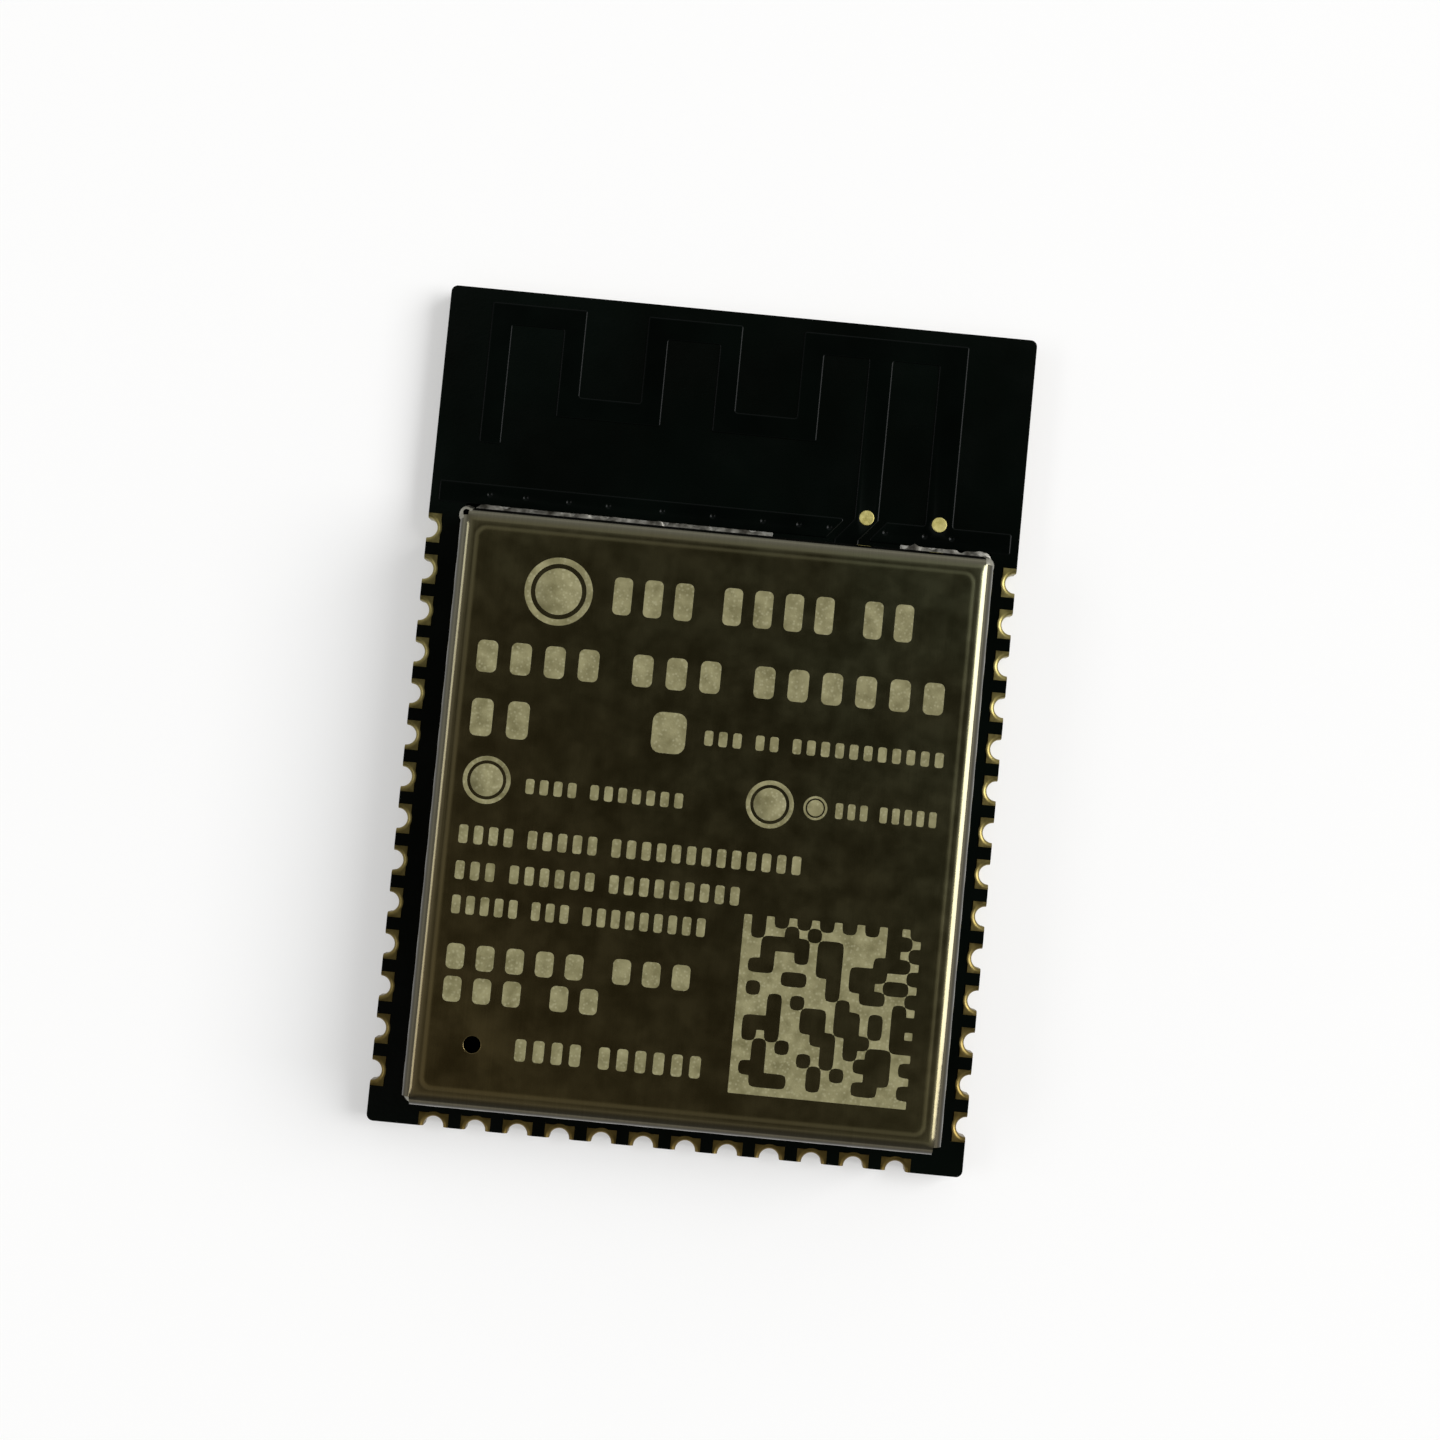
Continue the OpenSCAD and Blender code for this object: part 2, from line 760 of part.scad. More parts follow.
// Body of a chip part: it hangs between its end caps, just clear of the board
module chip_body(h) {
    body_l = chip_l - 2 * end_cap_l;
    body_w = chip_w - 2 * end_cap_t;
    translate([-body_l / 2, -body_w / 2, end_cap_t])
        cube([body_l, body_w, h - 2 * end_cap_t]);
}

// The two metal end caps of a chip part
module chip_caps(h) {
    for (side = [-1, 1])
        translate([side * (chip_l - end_cap_l) / 2 - end_cap_l / 2, -chip_w / 2, 0])
            cube([end_cap_l, chip_w, h]);
}

module capacitor_bodies() {
    color([0.66, 0.54, 0.38])
        at_places(capacitor_places)
            chip_body(capacitor_h);
}

module capacitor_caps() {
    color([0.78, 0.78, 0.76])
        at_places(capacitor_places)
            chip_caps(capacitor_h);
}

module resistor_bodies() {
    color([0.12, 0.12, 0.13])
        at_places(resistor_places)
            chip_body(resistor_h);
}

module resistor_caps() {
    color([0.78, 0.78, 0.76])
        at_places(resistor_places)
            chip_caps(resistor_h);
}

module inductor_bodies() {
    color([0.3, 0.34, 0.4])
        at_places(inductor_places)
            chip_body(inductor_h);
}

module inductor_caps() {
    color([0.78, 0.78, 0.76])
        at_places(inductor_places)
            chip_caps(inductor_h);
}

circuit_board();
antenna_copper();
probe_pads();
left_edge_pads();
right_edge_pads();
bottom_edge_pads();
ground_pad();
can_land();
can_solder();
shield_can();
processor_body();
processor_leads();
memory_body();
memory_leads();
crystal_base();
crystal_lid();
crystal_pads();
capacitor_bodies();
capacitor_caps();
resistor_bodies();
resistor_caps();
inductor_bodies();
inductor_caps();
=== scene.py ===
import math

import bmesh
import bpy
from mathutils import Matrix, Vector, noise
from mathutils.geometry import delaunay_2d_cdt


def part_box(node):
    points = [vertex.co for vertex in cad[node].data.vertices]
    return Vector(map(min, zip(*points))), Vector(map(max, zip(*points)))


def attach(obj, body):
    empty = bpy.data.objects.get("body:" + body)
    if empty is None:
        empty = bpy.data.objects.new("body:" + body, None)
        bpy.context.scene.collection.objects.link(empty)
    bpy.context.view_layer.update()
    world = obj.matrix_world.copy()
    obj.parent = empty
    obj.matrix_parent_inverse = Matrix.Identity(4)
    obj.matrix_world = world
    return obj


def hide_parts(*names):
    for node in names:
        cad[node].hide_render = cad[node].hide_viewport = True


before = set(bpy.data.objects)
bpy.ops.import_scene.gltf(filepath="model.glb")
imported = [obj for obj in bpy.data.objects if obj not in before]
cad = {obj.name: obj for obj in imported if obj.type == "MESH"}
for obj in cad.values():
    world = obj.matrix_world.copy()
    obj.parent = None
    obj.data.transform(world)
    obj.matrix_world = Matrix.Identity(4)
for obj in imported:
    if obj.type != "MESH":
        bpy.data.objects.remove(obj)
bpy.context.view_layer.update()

# Circuit board: glass-fibre laminate under two thin films of black solder mask. A router cuts it out of its
# panel and halves the plated holes on the way, so the bare cloth layers show along its edge.
# Sizes here and below are in millimetres; a finished mesh is brought to metres as it becomes a piece.
def extent(node):
    """Lowest and highest corner of a CAD node."""
    low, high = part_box(node)
    return low * 1000, high * 1000


edge_x, edge_y, board_top = extent("circuit_board")[1]


def srgb(red, green, blue):
    """A colour given in levels from 0 to 255, as the shader's linear values."""
    levels = [level / 255 for level in (red, green, blue)]
    return [x / 12.92 if x <= 0.04045 else ((x + 0.055) / 1.055) ** 2.4 for x in levels] + [1.0]


def put(tree, kind, inputs=None, **settings):
    """Adds a node. Each input is a socket to link from or a plain value."""
    node = tree.nodes.new(kind)
    for name, value in settings.items():
        setattr(node, name, value)
    for key, value in (inputs or {}).items():
        if isinstance(value, bpy.types.NodeSocket):
            tree.links.new(value, node.inputs[key])
        else:
            node.inputs[key].default_value = value
    return node


def blend(tree, share, first, second):
    """The colour between two, each a socket or three levels."""
    ends = [x if isinstance(x, bpy.types.NodeSocket) else srgb(*x) for x in (first, second)]
    return put(tree, "ShaderNodeMix", {0: share, 6: ends[0], 7: ends[1]}, data_type="RGBA").outputs[2]


def pick(tree, share, first, second):
    """The value between two."""
    return put(tree, "ShaderNodeMix", {0: share, 2: first, 3: second}, data_type="FLOAT").outputs[0]


def sums(tree, operation, first, second=0.0):
    """One step of arithmetic on values."""
    return put(tree, "ShaderNodeMath", {0: first, 1: second}, operation=operation).outputs[0]


def graded(tree, value, start, end, first=0.0, last=1.0):
    """A value that goes from first to last while another goes from start to end."""
    limits = {"Value": value, "From Min": start, "From Max": end, "To Min": first, "To Max": last}
    return put(tree, "ShaderNodeMapRange", limits).outputs[0]


def spot_in(tree, size=1.0):
    """Where a point lies on its piece, counted in millimetres or in another size."""
    place = put(tree, "ShaderNodeTexCoord").outputs["Object"]
    per_metre = sums(tree, "DIVIDE", 1000.0, size)
    return put(tree, "ShaderNodeVectorMath", {0: place, "Scale": per_metre}, operation="SCALE").outputs[0]


def axes(tree, vector):
    """The parts of a vector, by the names of the axes."""
    return put(tree, "ShaderNodeSeparateXYZ", {0: vector}).outputs


def new_finish(name, metallic=0.0, specular=0.5):
    """A material with its tree and its shader."""
    finish = bpy.data.materials.new(name)
    finish.use_nodes = True
    shader = finish.node_tree.nodes["Principled BSDF"]
    shader.inputs["Metallic"].default_value = metallic
    shader.inputs["Specular IOR Level"].default_value = specular
    return finish, finish.node_tree, shader


def coat(tree, shader, colour, roughness, bumps, depth):
    """Gives a finish its colour, its roughness and bumps of a depth in millimetres."""
    tree.links.new(colour, shader.inputs["Base Color"])
    tree.links.new(roughness, shader.inputs["Roughness"])
    bump = put(tree, "ShaderNodeBump", {"Height": bumps, "Distance": depth / 1000})
    tree.links.new(bump.outputs["Normal"], shader.inputs["Normal"])


def new_effect(name, inputs):
    """A shared effect: a node group with some sizes in and one value out."""
    tree = bpy.data.node_groups.new(name, "ShaderNodeTree")
    for label, value in inputs.items():
        socket = tree.interface.new_socket(label, in_out="INPUT", socket_type="NodeSocketFloat")
        socket.default_value = value
    tree.interface.new_socket("Value", in_out="OUTPUT", socket_type="NodeSocketFloat")
    return tree, tree.nodes.new("NodeGroupInput").outputs, tree.nodes.new("NodeGroupOutput").inputs["Value"]


def use(tree, effect, **values):
    """What a shared effect gives with these values."""
    return put(tree, "ShaderNodeGroup", values, node_tree=effect).outputs["Value"]


# Soft patches of the given size, such as stains and uneven coats, between two levels
patches, given, result = new_effect("soft_patches", {"Size": 1.0, "Low": 0.0, "High": 1.0})
place = spot_in(patches, given["Size"])
cloud = put(patches, "ShaderNodeTexNoise", {"Vector": place, "Scale": 1.0, "Detail": 3.0}).outputs[0]
patches.links.new(graded(patches, cloud, 0.32, 0.68, given["Low"], given["High"]), result)

# Streaks with their own length along each axis, such as cloth layers and rolled metal
streaks, given, result = new_effect("streaks", {"X": 1.0, "Y": 1.0, "Z": 1.0})
lengths = put(streaks, "ShaderNodeCombineXYZ", {axis: given[axis] for axis in "XYZ"}).outputs[0]
place = put(streaks, "ShaderNodeVectorMath", {0: spot_in(streaks), 1: lengths}, operation="DIVIDE").outputs[0]
run = put(streaks, "ShaderNodeTexNoise", {"Vector": place, "Scale": 1.0, "Detail": 4.0, "Roughness": 0.6})
streaks.links.new(run.outputs[0], result)

board_finish, tree, shader = new_finish("black_mask_on_laminate", specular=0.2)
facing = put(tree, "ShaderNodeNewGeometry").outputs["Normal"]
masked = sums(tree, "GREATER_THAN", sums(tree, "ABSOLUTE", axes(tree, facing)["Z"]), 0.5)
mask_colour = blend(tree, use(tree, patches, Size=5.0), (1, 3, 2), (3, 8, 6))
cloth = use(tree, streaks, X=0.7, Y=0.7, Z=0.05)
edge_colour = blend(tree, cloth, (52, 44, 30), (104, 90, 60))
mask_gloss = use(tree, patches, Size=1.7, Low=0.12, High=0.2)
peel = use(tree, patches, Size=0.12)
coat(tree, shader, blend(tree, masked, edge_colour, mask_colour), pick(tree, masked, 0.7, mask_gloss),
     pick(tree, masked, cloth, peel), 0.0006)
cad["circuit_board"].data.materials.clear()
cad["circuit_board"].data.materials.append(board_finish)


# Antenna and ground strip: etched copper under the mask. The film drapes over the copper, so each trace has
# round shoulders, and it sags into the vias of the strip, which shows as a row of small dimples.
def inset(outline, depth):
    """A closed outline that runs counter-clockwise, moved inwards with mitred corners."""
    moved = []
    for k, here in enumerate(outline):
        here, before, after = Vector(here), Vector(outline[k - 1]), Vector(outline[(k + 1) % len(outline)])
        inward = [Vector((-e.y, e.x)).normalized() for e in (here - before, after - here)]
        moved.append(here + (inward[0] + inward[1]) * (depth / (1 + inward[0].dot(inward[1]))))
    return moved


def eased(outline, radius, steps=5):
    """The same outline with small round corners, as etching leaves them."""
    soft = []
    for k, here in enumerate(outline):
        here = Vector(here)
        neighbours = outline[k - 1], outline[(k + 1) % len(outline)]
        back, on = [(Vector(other) - here).normalized() for other in neighbours]
        half_turn = back.angle(on) / 2
        middle = here + (back + on).normalized() * (radius / math.sin(half_turn))
        first, last = [here + side * (radius / math.tan(half_turn)) - middle for side in (back, on)]
        soft += [middle + first.lerp(last, step / steps).normalized() * radius for step in range(steps + 1)]
    return soft


def fill(loops):
    """Triangles inside the first of some nested outlines, as numbers of their points in order."""
    points, edges = [], []
    for loop in loops:
        start, count = len(points), len(loop)
        points += [Vector(point) for point in loop]
        edges += [(start + k, start + (k + 1) % count) for k in range(count) if count > 1]
    found = delaunay_2d_cdt(points, edges, [], 1, 1e-7)
    return [[found[3][k][0] for k in face] for face in found[2]]


def ring(middle, radius, count=None):
    """A circle, counter-clockwise, with more points the larger it is."""
    count = count or 20 + round(40 * radius)
    turns = [2 * math.pi * k / count for k in range(count)]
    return [(middle[0] + radius * math.cos(a), middle[1] + radius * math.sin(a)) for a in turns]


def skin(rows, count, ends=False):
    """Faces between rows of points, each row a closed loop, and across both ends where they are closed."""
    faces = []
    for row in range(rows - 1):
        for k in range(count):
            here, after = row * count + k, row * count + (k + 1) % count
            faces.append((here, after, after + count, here + count))
    if ends:
        faces += [list(range(count)), [rows * count - 1 - k for k in range(count)]]
    return faces


def plate(outline, low, high, shoulder, drop, steps=4, dimples=()):
    """Points and faces of a closed plate whose upper edge is rounded by shoulder across and drop down.
    A dimple is a middle with a list of radius and depth, from its rim inwards."""
    levels = [(outline, low)]
    if high - drop > low:
        levels.append((outline, high - drop))
    for k in range(1, steps + 1):
        turn = math.pi / 2 * k / steps
        levels.append((inset(outline, shoulder * (1 - math.cos(turn))), high - drop + drop * math.sin(turn)))
    levels.append((inset(outline, 1.1 * shoulder), high))
    points = [(x, y, z) for loop, z in levels for x, y in loop]
    count = len(outline)
    faces = skin(len(levels), count)
    top = [levels[-1][0]]
    top_points = [len(points) - count + k for k in range(count)]
    for middle, profile in dimples:
        for radius, depth in profile:
            top.append(ring(middle, radius) if radius else [middle])
            for x, y in top[-1]:
                top_points.append(len(points))
                points.append((x, y, high - depth))
    faces += [[top_points[k] for k in face] for face in fill(top)]
    faces += [face[::-1] for face in fill([outline])]
    return points, faces


def new_mesh(name, *shells):
    """One mesh of several closed shells of points and faces."""
    points, faces = [], []
    for shell_points, shell_faces in shells:
        faces += [[k + len(points) for k in face] for face in shell_faces]
        points += shell_points
    mesh = bpy.data.meshes.new(name)
    mesh.from_pydata(points, [], faces)
    shape = bmesh.new()
    shape.from_mesh(mesh)
    bmesh.ops.recalc_face_normals(shape, faces=shape.faces)
    shape.to_mesh(mesh)
    shape.free()
    return mesh


def as_piece(name, mesh, finish=None, crease=40):
    """The finished mesh as an object of the scene, in metres."""
    mesh.transform(Matrix.Scale(0.001, 4))
    mesh.shade_smooth()
    mesh.set_sharp_from_angle(angle=math.radians(crease))
    if finish:
        mesh.materials.clear()
        mesh.materials.append(finish)
    piece = bpy.data.objects.new(name, mesh)
    bpy.context.scene.collection.objects.link(piece)
    return piece


copper_top = board_top + 0.035
drape_w, drape_h = 0.05, 0.033
trace_w, meander_l, tail_l = 0.66, 3.35, 4.35
leg_x = [2.22, -0.32, -2.57, -5.11, -7.36]
feed_leg_x, feed_leg_w = 4.3, 0.74
ground_leg_x, ground_leg_w = 6.52, 0.86
feed_x, feed_gap, feed_end = 3.75, 0.25, extent("shield_can")[1].y - 1.0
strip_x, strip_north, strip_south = edge_x - 0.25, 6.75, 6.1
antenna_top = edge_y - 0.4

# The outline goes round the meander from the far right: down and up along its legs, round the open last leg,
# back below the bars, round the feed line and along the right part of the strip
half, under = trace_w / 2, antenna_top - trace_w
low_y = antenna_top - meander_l
antenna_outline = [(ground_leg_x + ground_leg_w / 2, antenna_top)]
for right, left in ((leg_x[0], leg_x[1]), (leg_x[2], leg_x[3])):
    antenna_outline += [(right - half, antenna_top), (right - half, low_y + trace_w),
                        (left + half, low_y + trace_w), (left + half, antenna_top)]
antenna_outline += [(leg_x[4] + side * half, y) for side, y in (
    (-1, antenna_top), (-1, antenna_top - tail_l), (1, antenna_top - tail_l), (1, under))]
for left, right in ((leg_x[3], leg_x[2]), (leg_x[1], leg_x[0])):
    antenna_outline += [(left - half, under), (left - half, low_y),
                        (right + half, low_y), (right + half, under)]
for side in (-1, 1):
    feed_side = [(feed_leg_x, under), (feed_leg_x, strip_north), (feed_x, strip_south), (feed_x, feed_end)]
    antenna_outline += [(x + side * feed_leg_w / 2, y) for x, y in feed_side[::-side]]
clear_w = feed_leg_w / 2 + feed_gap
antenna_outline += [
    (ground_leg_x - ground_leg_w / 2, under), (ground_leg_x - ground_leg_w / 2, strip_north),
    (feed_leg_x + clear_w, strip_north), (feed_x + clear_w, strip_south), (strip_x, strip_south),
    (strip_x, strip_north), (ground_leg_x + ground_leg_w / 2, strip_north),
]
strip_outline = [(-strip_x, strip_south), (feed_x - clear_w, strip_south),
                 (feed_leg_x - clear_w, strip_north), (-strip_x, strip_north)]

probe_y = strip_north + 0.07
probe_middles = [(feed_leg_x, probe_y), (ground_leg_x, probe_y)]
via_y = (strip_north + strip_south) / 2
via_origin, via_pitch = 4.025, 1.1
via_steps = (-10.2, -9.2, -8, -6.9, -5.4, -4, -2.6, -1.6, -0.75, 0.8, 1.9, 2.65)
vias = [(via_origin + via_pitch * step, via_y) for step in via_steps]
via_sag = [(0.098, 0), (0.085, 0.002), (0.07, 0.008), (0.05, 0.018),
           (0.03, 0.027), (0.012, 0.03), (0, 0.0305)]
probe_opening = [(0.25, 0), (0.246, 0.002), (0.242, 0.008), (0.238, 0.02),
                 (0.236, 0.032), (0.1, 0.032), (0, 0.032)]
right_sags = [(middle, via_sag) for middle in vias if middle[0] > feed_x]
right_sags += [(middle, probe_opening) for middle in probe_middles]
left_sags = [(middle, via_sag) for middle in vias if middle[0] < feed_x]
etched_r = 0.07
copper_shells = []
for outline, sags in ((antenna_outline, right_sags), (strip_outline, left_sags)):
    copper_shells.append(plate(eased(outline, etched_r), board_top, copper_top, drape_w, drape_h,
                               steps=6, dimples=sags))

copper_finish, tree, shader = new_finish("black_mask_over_copper", specular=0.08)
tone = blend(tree, use(tree, patches, Size=2.4), (2, 4, 3), (4, 8, 6))
gloss = use(tree, patches, Size=0.9, Low=0.12, High=0.2)
coat(tree, shader, tone, gloss, use(tree, patches, Size=0.1), 0.0005)
antenna = as_piece("masked_antenna", new_mesh("masked_antenna", *copper_shells), copper_finish, 60)
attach(antenna, "root")
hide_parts("antenna_copper")

# Probe pads: two bare discs at the feet of the antenna's legs, where the mask is left open. The copper there
# has a thin coat of gold over nickel, a little grainy and dished.
grains, given, result = new_effect("plated_grain", {"Size": 0.02})
place = spot_in(grains, given["Size"])
cells = put(grains, "ShaderNodeTexVoronoi", {"Vector": place, "Scale": 1.0, "Smoothness": 0.6},
            feature="SMOOTH_F1")
grains.links.new(cells.outputs["Distance"], result)

gold_finish, tree, shader = new_finish("gold_over_nickel", metallic=1.0)
# Painted shade and painted light: the gold is painted darker and browner towards the board's -Y edge and
# lighter towards +Y.
lit_share = graded(tree, axes(tree, spot_in(tree))["Y"], -edge_y, 0.4 * edge_y)
spots = use(tree, patches, Size=0.35)
shaded_gold = blend(tree, spots, (96, 80, 41), (119, 101, 57))
lit_gold = blend(tree, spots, (127, 117, 71), (151, 141, 91))
gloss = use(tree, patches, Size=0.2, Low=0.3, High=0.42)
coat(tree, shader, blend(tree, lit_share, shaded_gold, lit_gold), gloss, use(tree, grains, Size=0.03), 0.0008)

bare_finish, tree, shader = new_finish("matt_gold", metallic=1.0)
tone = blend(tree, use(tree, patches, Size=0.2), (184, 174, 104), (208, 199, 134))
gloss = use(tree, patches, Size=0.1, Low=0.5, High=0.62)
coat(tree, shader, tone, gloss, use(tree, grains, Size=0.03), 0.0015)
probe_r, probe_top = 0.23, copper_top - 0.004
probe_dish = [(0.19, 0), (0.14, 0.001), (0.07, 0.003), (0, 0.0035)]
probe_shells = [plate(ring(middle, probe_r, 40), board_top, probe_top, shoulder=0.02, drop=0.012, steps=3,
                      dimples=[(middle, probe_dish)]) for middle in probe_middles]
probes = as_piece("probe_discs", new_mesh("probe_discs", *probe_shells), bare_finish)
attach(probes, "root")
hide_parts("probe_pads")

# Edge pads: a land above, a land below and the plated wall of a half hole between them, which is drilled and
# plated whole and then cut in two. The rim of the hole is worn round by the deburring.
pad_half_w = 0.45
upper_l, ring_r, lower_l = 0.41, 0.45, 0.85
hole_r, plating, rim_w, rim_h = 0.3, 0.035, 0.13, 0.11


def land_reach(turn, length):
    """Distance from the hole's middle to the edge of a square land."""
    across, along = abs(math.sin(turn)), abs(math.cos(turn))
    return min(pad_half_w / max(across, 1e-9), length / max(along, 1e-9))


def edge_pad():
    """Points and faces of one pad, with the hole's middle at the origin and the board towards -X."""
    corners = [math.atan2(pad_half_w, -length) for length in (upper_l, lower_l)]
    turns = [math.pi / 2 + math.pi * k / 30 for k in range(31)]
    turns = sorted(turns + corners + [2 * math.pi - corner for corner in corners])
    bends = [math.pi / 2 * k / 7 for k in range(8)]
    rim = [(hole_r + rim_w * (1 - math.sin(a)), rim_h * (1 - math.cos(a))) for a in bends]
    soft = 0.006
    points = []
    for turn in turns:
        upper = max(land_reach(turn, upper_l), ring_r)
        lower = land_reach(turn, lower_l)
        section = [(upper, board_top - plating), (upper, board_top - soft), (upper - soft, board_top)]
        section += [(r, board_top - down) for r, down in rim] + rim[::-1]
        section += [(lower - soft, 0), (lower, soft), (lower, plating)]
        section += [(hole_r + plating, plating), (hole_r + plating, board_top - plating)]
        points += [(r * math.cos(turn), r * math.sin(turn), z) for r, z in section]
    return points, skin(len(turns), len(section), ends=True)


def new_tree(name, sockets):
    """A geometry tree with named inputs."""
    tree = bpy.data.node_groups.new(name, "GeometryNodeTree")
    tree.interface.new_socket("Geometry", in_out="OUTPUT", socket_type="NodeSocketGeometry")
    for label, kind in sockets.items():
        tree.interface.new_socket(label, in_out="INPUT", socket_type="NodeSocket" + kind)
    result = tree.nodes.new("NodeGroupOutput").inputs["Geometry"]
    return tree, tree.nodes.new("NodeGroupInput").outputs, result


def repeated(tree, points, part, turn=0.0):
    """A copy of a part at each point, turned about the vertical."""
    turned = put(tree, "ShaderNodeCombineXYZ", {"Z": turn}).outputs[0]
    shape = put(tree, "GeometryNodeObjectInfo", {"Object": part}).outputs["Geometry"]
    copies = {"Points": points, "Instance": shape, "Rotation": turned}
    return put(tree, "GeometryNodeInstanceOnPoints", copies).outputs["Instances"]


def dress(tree, geometry, finish, result):
    """Ends a tree: what it placed becomes one mesh of one finish."""
    whole = put(tree, "GeometryNodeRealizeInstances", {"Geometry": geometry}).outputs["Geometry"]
    dressed = put(tree, "GeometryNodeSetMaterial", {"Geometry": whole, "Material": finish})
    tree.links.new(dressed.outputs["Geometry"], result)


def grown(name, tree, base=None, **values):
    """The plain mesh that a tree makes with these values, on a base mesh if it needs one."""
    helper = bpy.data.objects.new(name + "_base", base or bpy.data.meshes.new(name + "_base"))
    bpy.context.scene.collection.objects.link(helper)
    modifier = helper.modifiers.new("grow", "NODES")
    modifier.node_group = tree
    for item in tree.interface.items_tree:
        if item.in_out == "INPUT" and item.name in values:
            modifier[item.identifier] = values[item.name]
    bpy.context.view_layer.update()
    whole = helper.evaluated_get(bpy.context.evaluated_depsgraph_get())
    mesh = bpy.data.meshes.new_from_object(whole)
    mesh.name = name
    bpy.data.objects.remove(helper)
    return mesh


def pattern(name, *shells):
    """One loose part that a tree repeats; it is removed after its use."""
    part = bpy.data.objects.new(name, new_mesh(name, *shells))
    bpy.context.scene.collection.objects.link(part)
    return part


sockets = {"Pad": "Object", "Count": "Int", "First": "Vector", "Step": "Vector", "Turn": "Float",
           "Finish": "Material"}
pad_row, given, result = new_tree("row_of_edge_pads", sockets)
spots = put(pad_row, "GeometryNodeMeshLine", {"Count": given["Count"], "Start Location": given["First"],
                                              "Offset": given["Step"]}, mode="OFFSET").outputs["Mesh"]
dress(pad_row, repeated(pad_row, spots, given["Pad"], given["Turn"]), given["Finish"], result)

one_pad = pattern("one_edge_pad", edge_pad())
pad_pitch, first_pad_y = 1.27, 1.5 - edge_y
pad_rows = {
    "left_edge_pads": (14, (-edge_x, first_pad_y, 0), (0, pad_pitch, 0), math.pi),
    "right_edge_pads": (14, (edge_x, first_pad_y, 0), (0, pad_pitch, 0), 0.0),
    "bottom_edge_pads": (12, (-5.5 * pad_pitch, -edge_y, 0), (pad_pitch, 0, 0), -math.pi / 2),
}
for node, (count, first, step, turn) in pad_rows.items():
    mesh = grown(node, pad_row, Pad=one_pad, Count=count, First=first, Step=step, Turn=turn,
                 Finish=gold_finish)
    row = as_piece(node + "_plated", mesh)
    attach(row, "root")
    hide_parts(node)
bpy.data.objects.remove(one_pad)


# Ground pad: nine square lands on the underside, parted by strips of mask so that solder paste can vent. They
# carry the processor's heat into the board that the module is soldered to.
def soft_square(width, length, corner, middle=(0, 0), steps=6):
    """Outline of a rounded rectangle, counter-clockwise."""
    outline = []
    for k, (x, y) in enumerate(((1, 1), (-1, 1), (-1, -1), (1, -1))):
        for step in range(steps + 1):
            turn = math.pi / 2 * (k + step / steps)
            outline.append((middle[0] + x * (width / 2 - corner) + corner * math.cos(turn),
                            middle[1] + y * (length / 2 - corner) + corner * math.sin(turn)))
    return outline


tile_w, tile_t, tile_corner, tile_pitch = 0.9, 0.035, 0.06, 1.4
tile_outline = soft_square(tile_w, tile_w, tile_corner)
tile_points, tile_faces = plate(tile_outline, 0, tile_t, shoulder=0.012, drop=0.01, steps=3)
one_tile = pattern("one_ground_tile", ([(x, y, tile_t - z) for x, y, z in tile_points], tile_faces))
sockets = {"Tile": "Object", "Tiles": "Int", "Step": "Float", "Middle": "Vector", "Finish": "Material"}
tile_grid, given, result = new_tree("grid_of_ground_tiles", sockets)
size = sums(tile_grid, "MULTIPLY", sums(tile_grid, "SUBTRACT", given["Tiles"], 1.0), given["Step"])
spots = put(tile_grid, "GeometryNodeMeshGrid", {"Size X": size, "Size Y": size, "Vertices X": given["Tiles"],
                                                "Vertices Y": given["Tiles"]}).outputs["Mesh"]
spots = put(tile_grid, "GeometryNodeTransform", {"Geometry": spots, "Translation": given["Middle"]})
dress(tile_grid, repeated(tile_grid, spots.outputs["Geometry"], given["Tile"]), given["Finish"], result)
low, high = extent("ground_pad")
tile_middle = ((low.x + high.x) / 2, (low.y + high.y) / 2, 0.0)
mesh = grown("ground_tiles", tile_grid, Tile=one_tile, Tiles=3, Step=tile_pitch, Middle=tile_middle,
             Finish=gold_finish)
bpy.data.objects.remove(one_tile)
ground = as_piece("ground_tiles", mesh)
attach(ground, "root")
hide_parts("ground_pad")


# Can land: a frame of tinned copper round the circuit, left open in the mask, which covers only its
# corners. The shield can stands on it and is soldered to it, so little of it shows.
def tin(tree, shader, covered=0.0):
    """A dull coat of tin, under black mask where it is covered."""
    tone = blend(tree, use(tree, patches, Size=0.3), (150, 150, 146), (196, 196, 190))
    gloss = use(tree, patches, Size=0.12, Low=0.3, High=0.5)
    coat(tree, shader, blend(tree, covered, tone, (1, 3, 2)), gloss, use(tree, grains, Size=0.06), 0.0015)


tin_finish, tree, shader = new_finish("dull_tin", metallic=1.0)
tin(tree, shader)
frame_finish, tree, shader = new_finish("tinned_frame", metallic=1.0)
low, high = extent("can_land")
place = put(tree, "ShaderNodeVectorMath", {0: spot_in(tree), 1: (low + high) / 2}, operation="SUBTRACT")
away = put(tree, "ShaderNodeVectorMath", {0: place.outputs[0]}, operation="ABSOLUTE").outputs[0]
away = axes(tree, away)
corner_cover = 1.05
mask_start = (high.x - low.x + high.y - low.y) / 2 - corner_cover
tin(tree, shader, sums(tree, "GREATER_THAN", sums(tree, "ADD", away["X"], away["Y"]), mask_start))
tinned_nodes = {"can_land": frame_finish, "processor_leads": tin_finish, "memory_leads": tin_finish}
for node, finish in tinned_nodes.items():
    cad[node].data.materials.clear()
    cad[node].data.materials.append(finish)

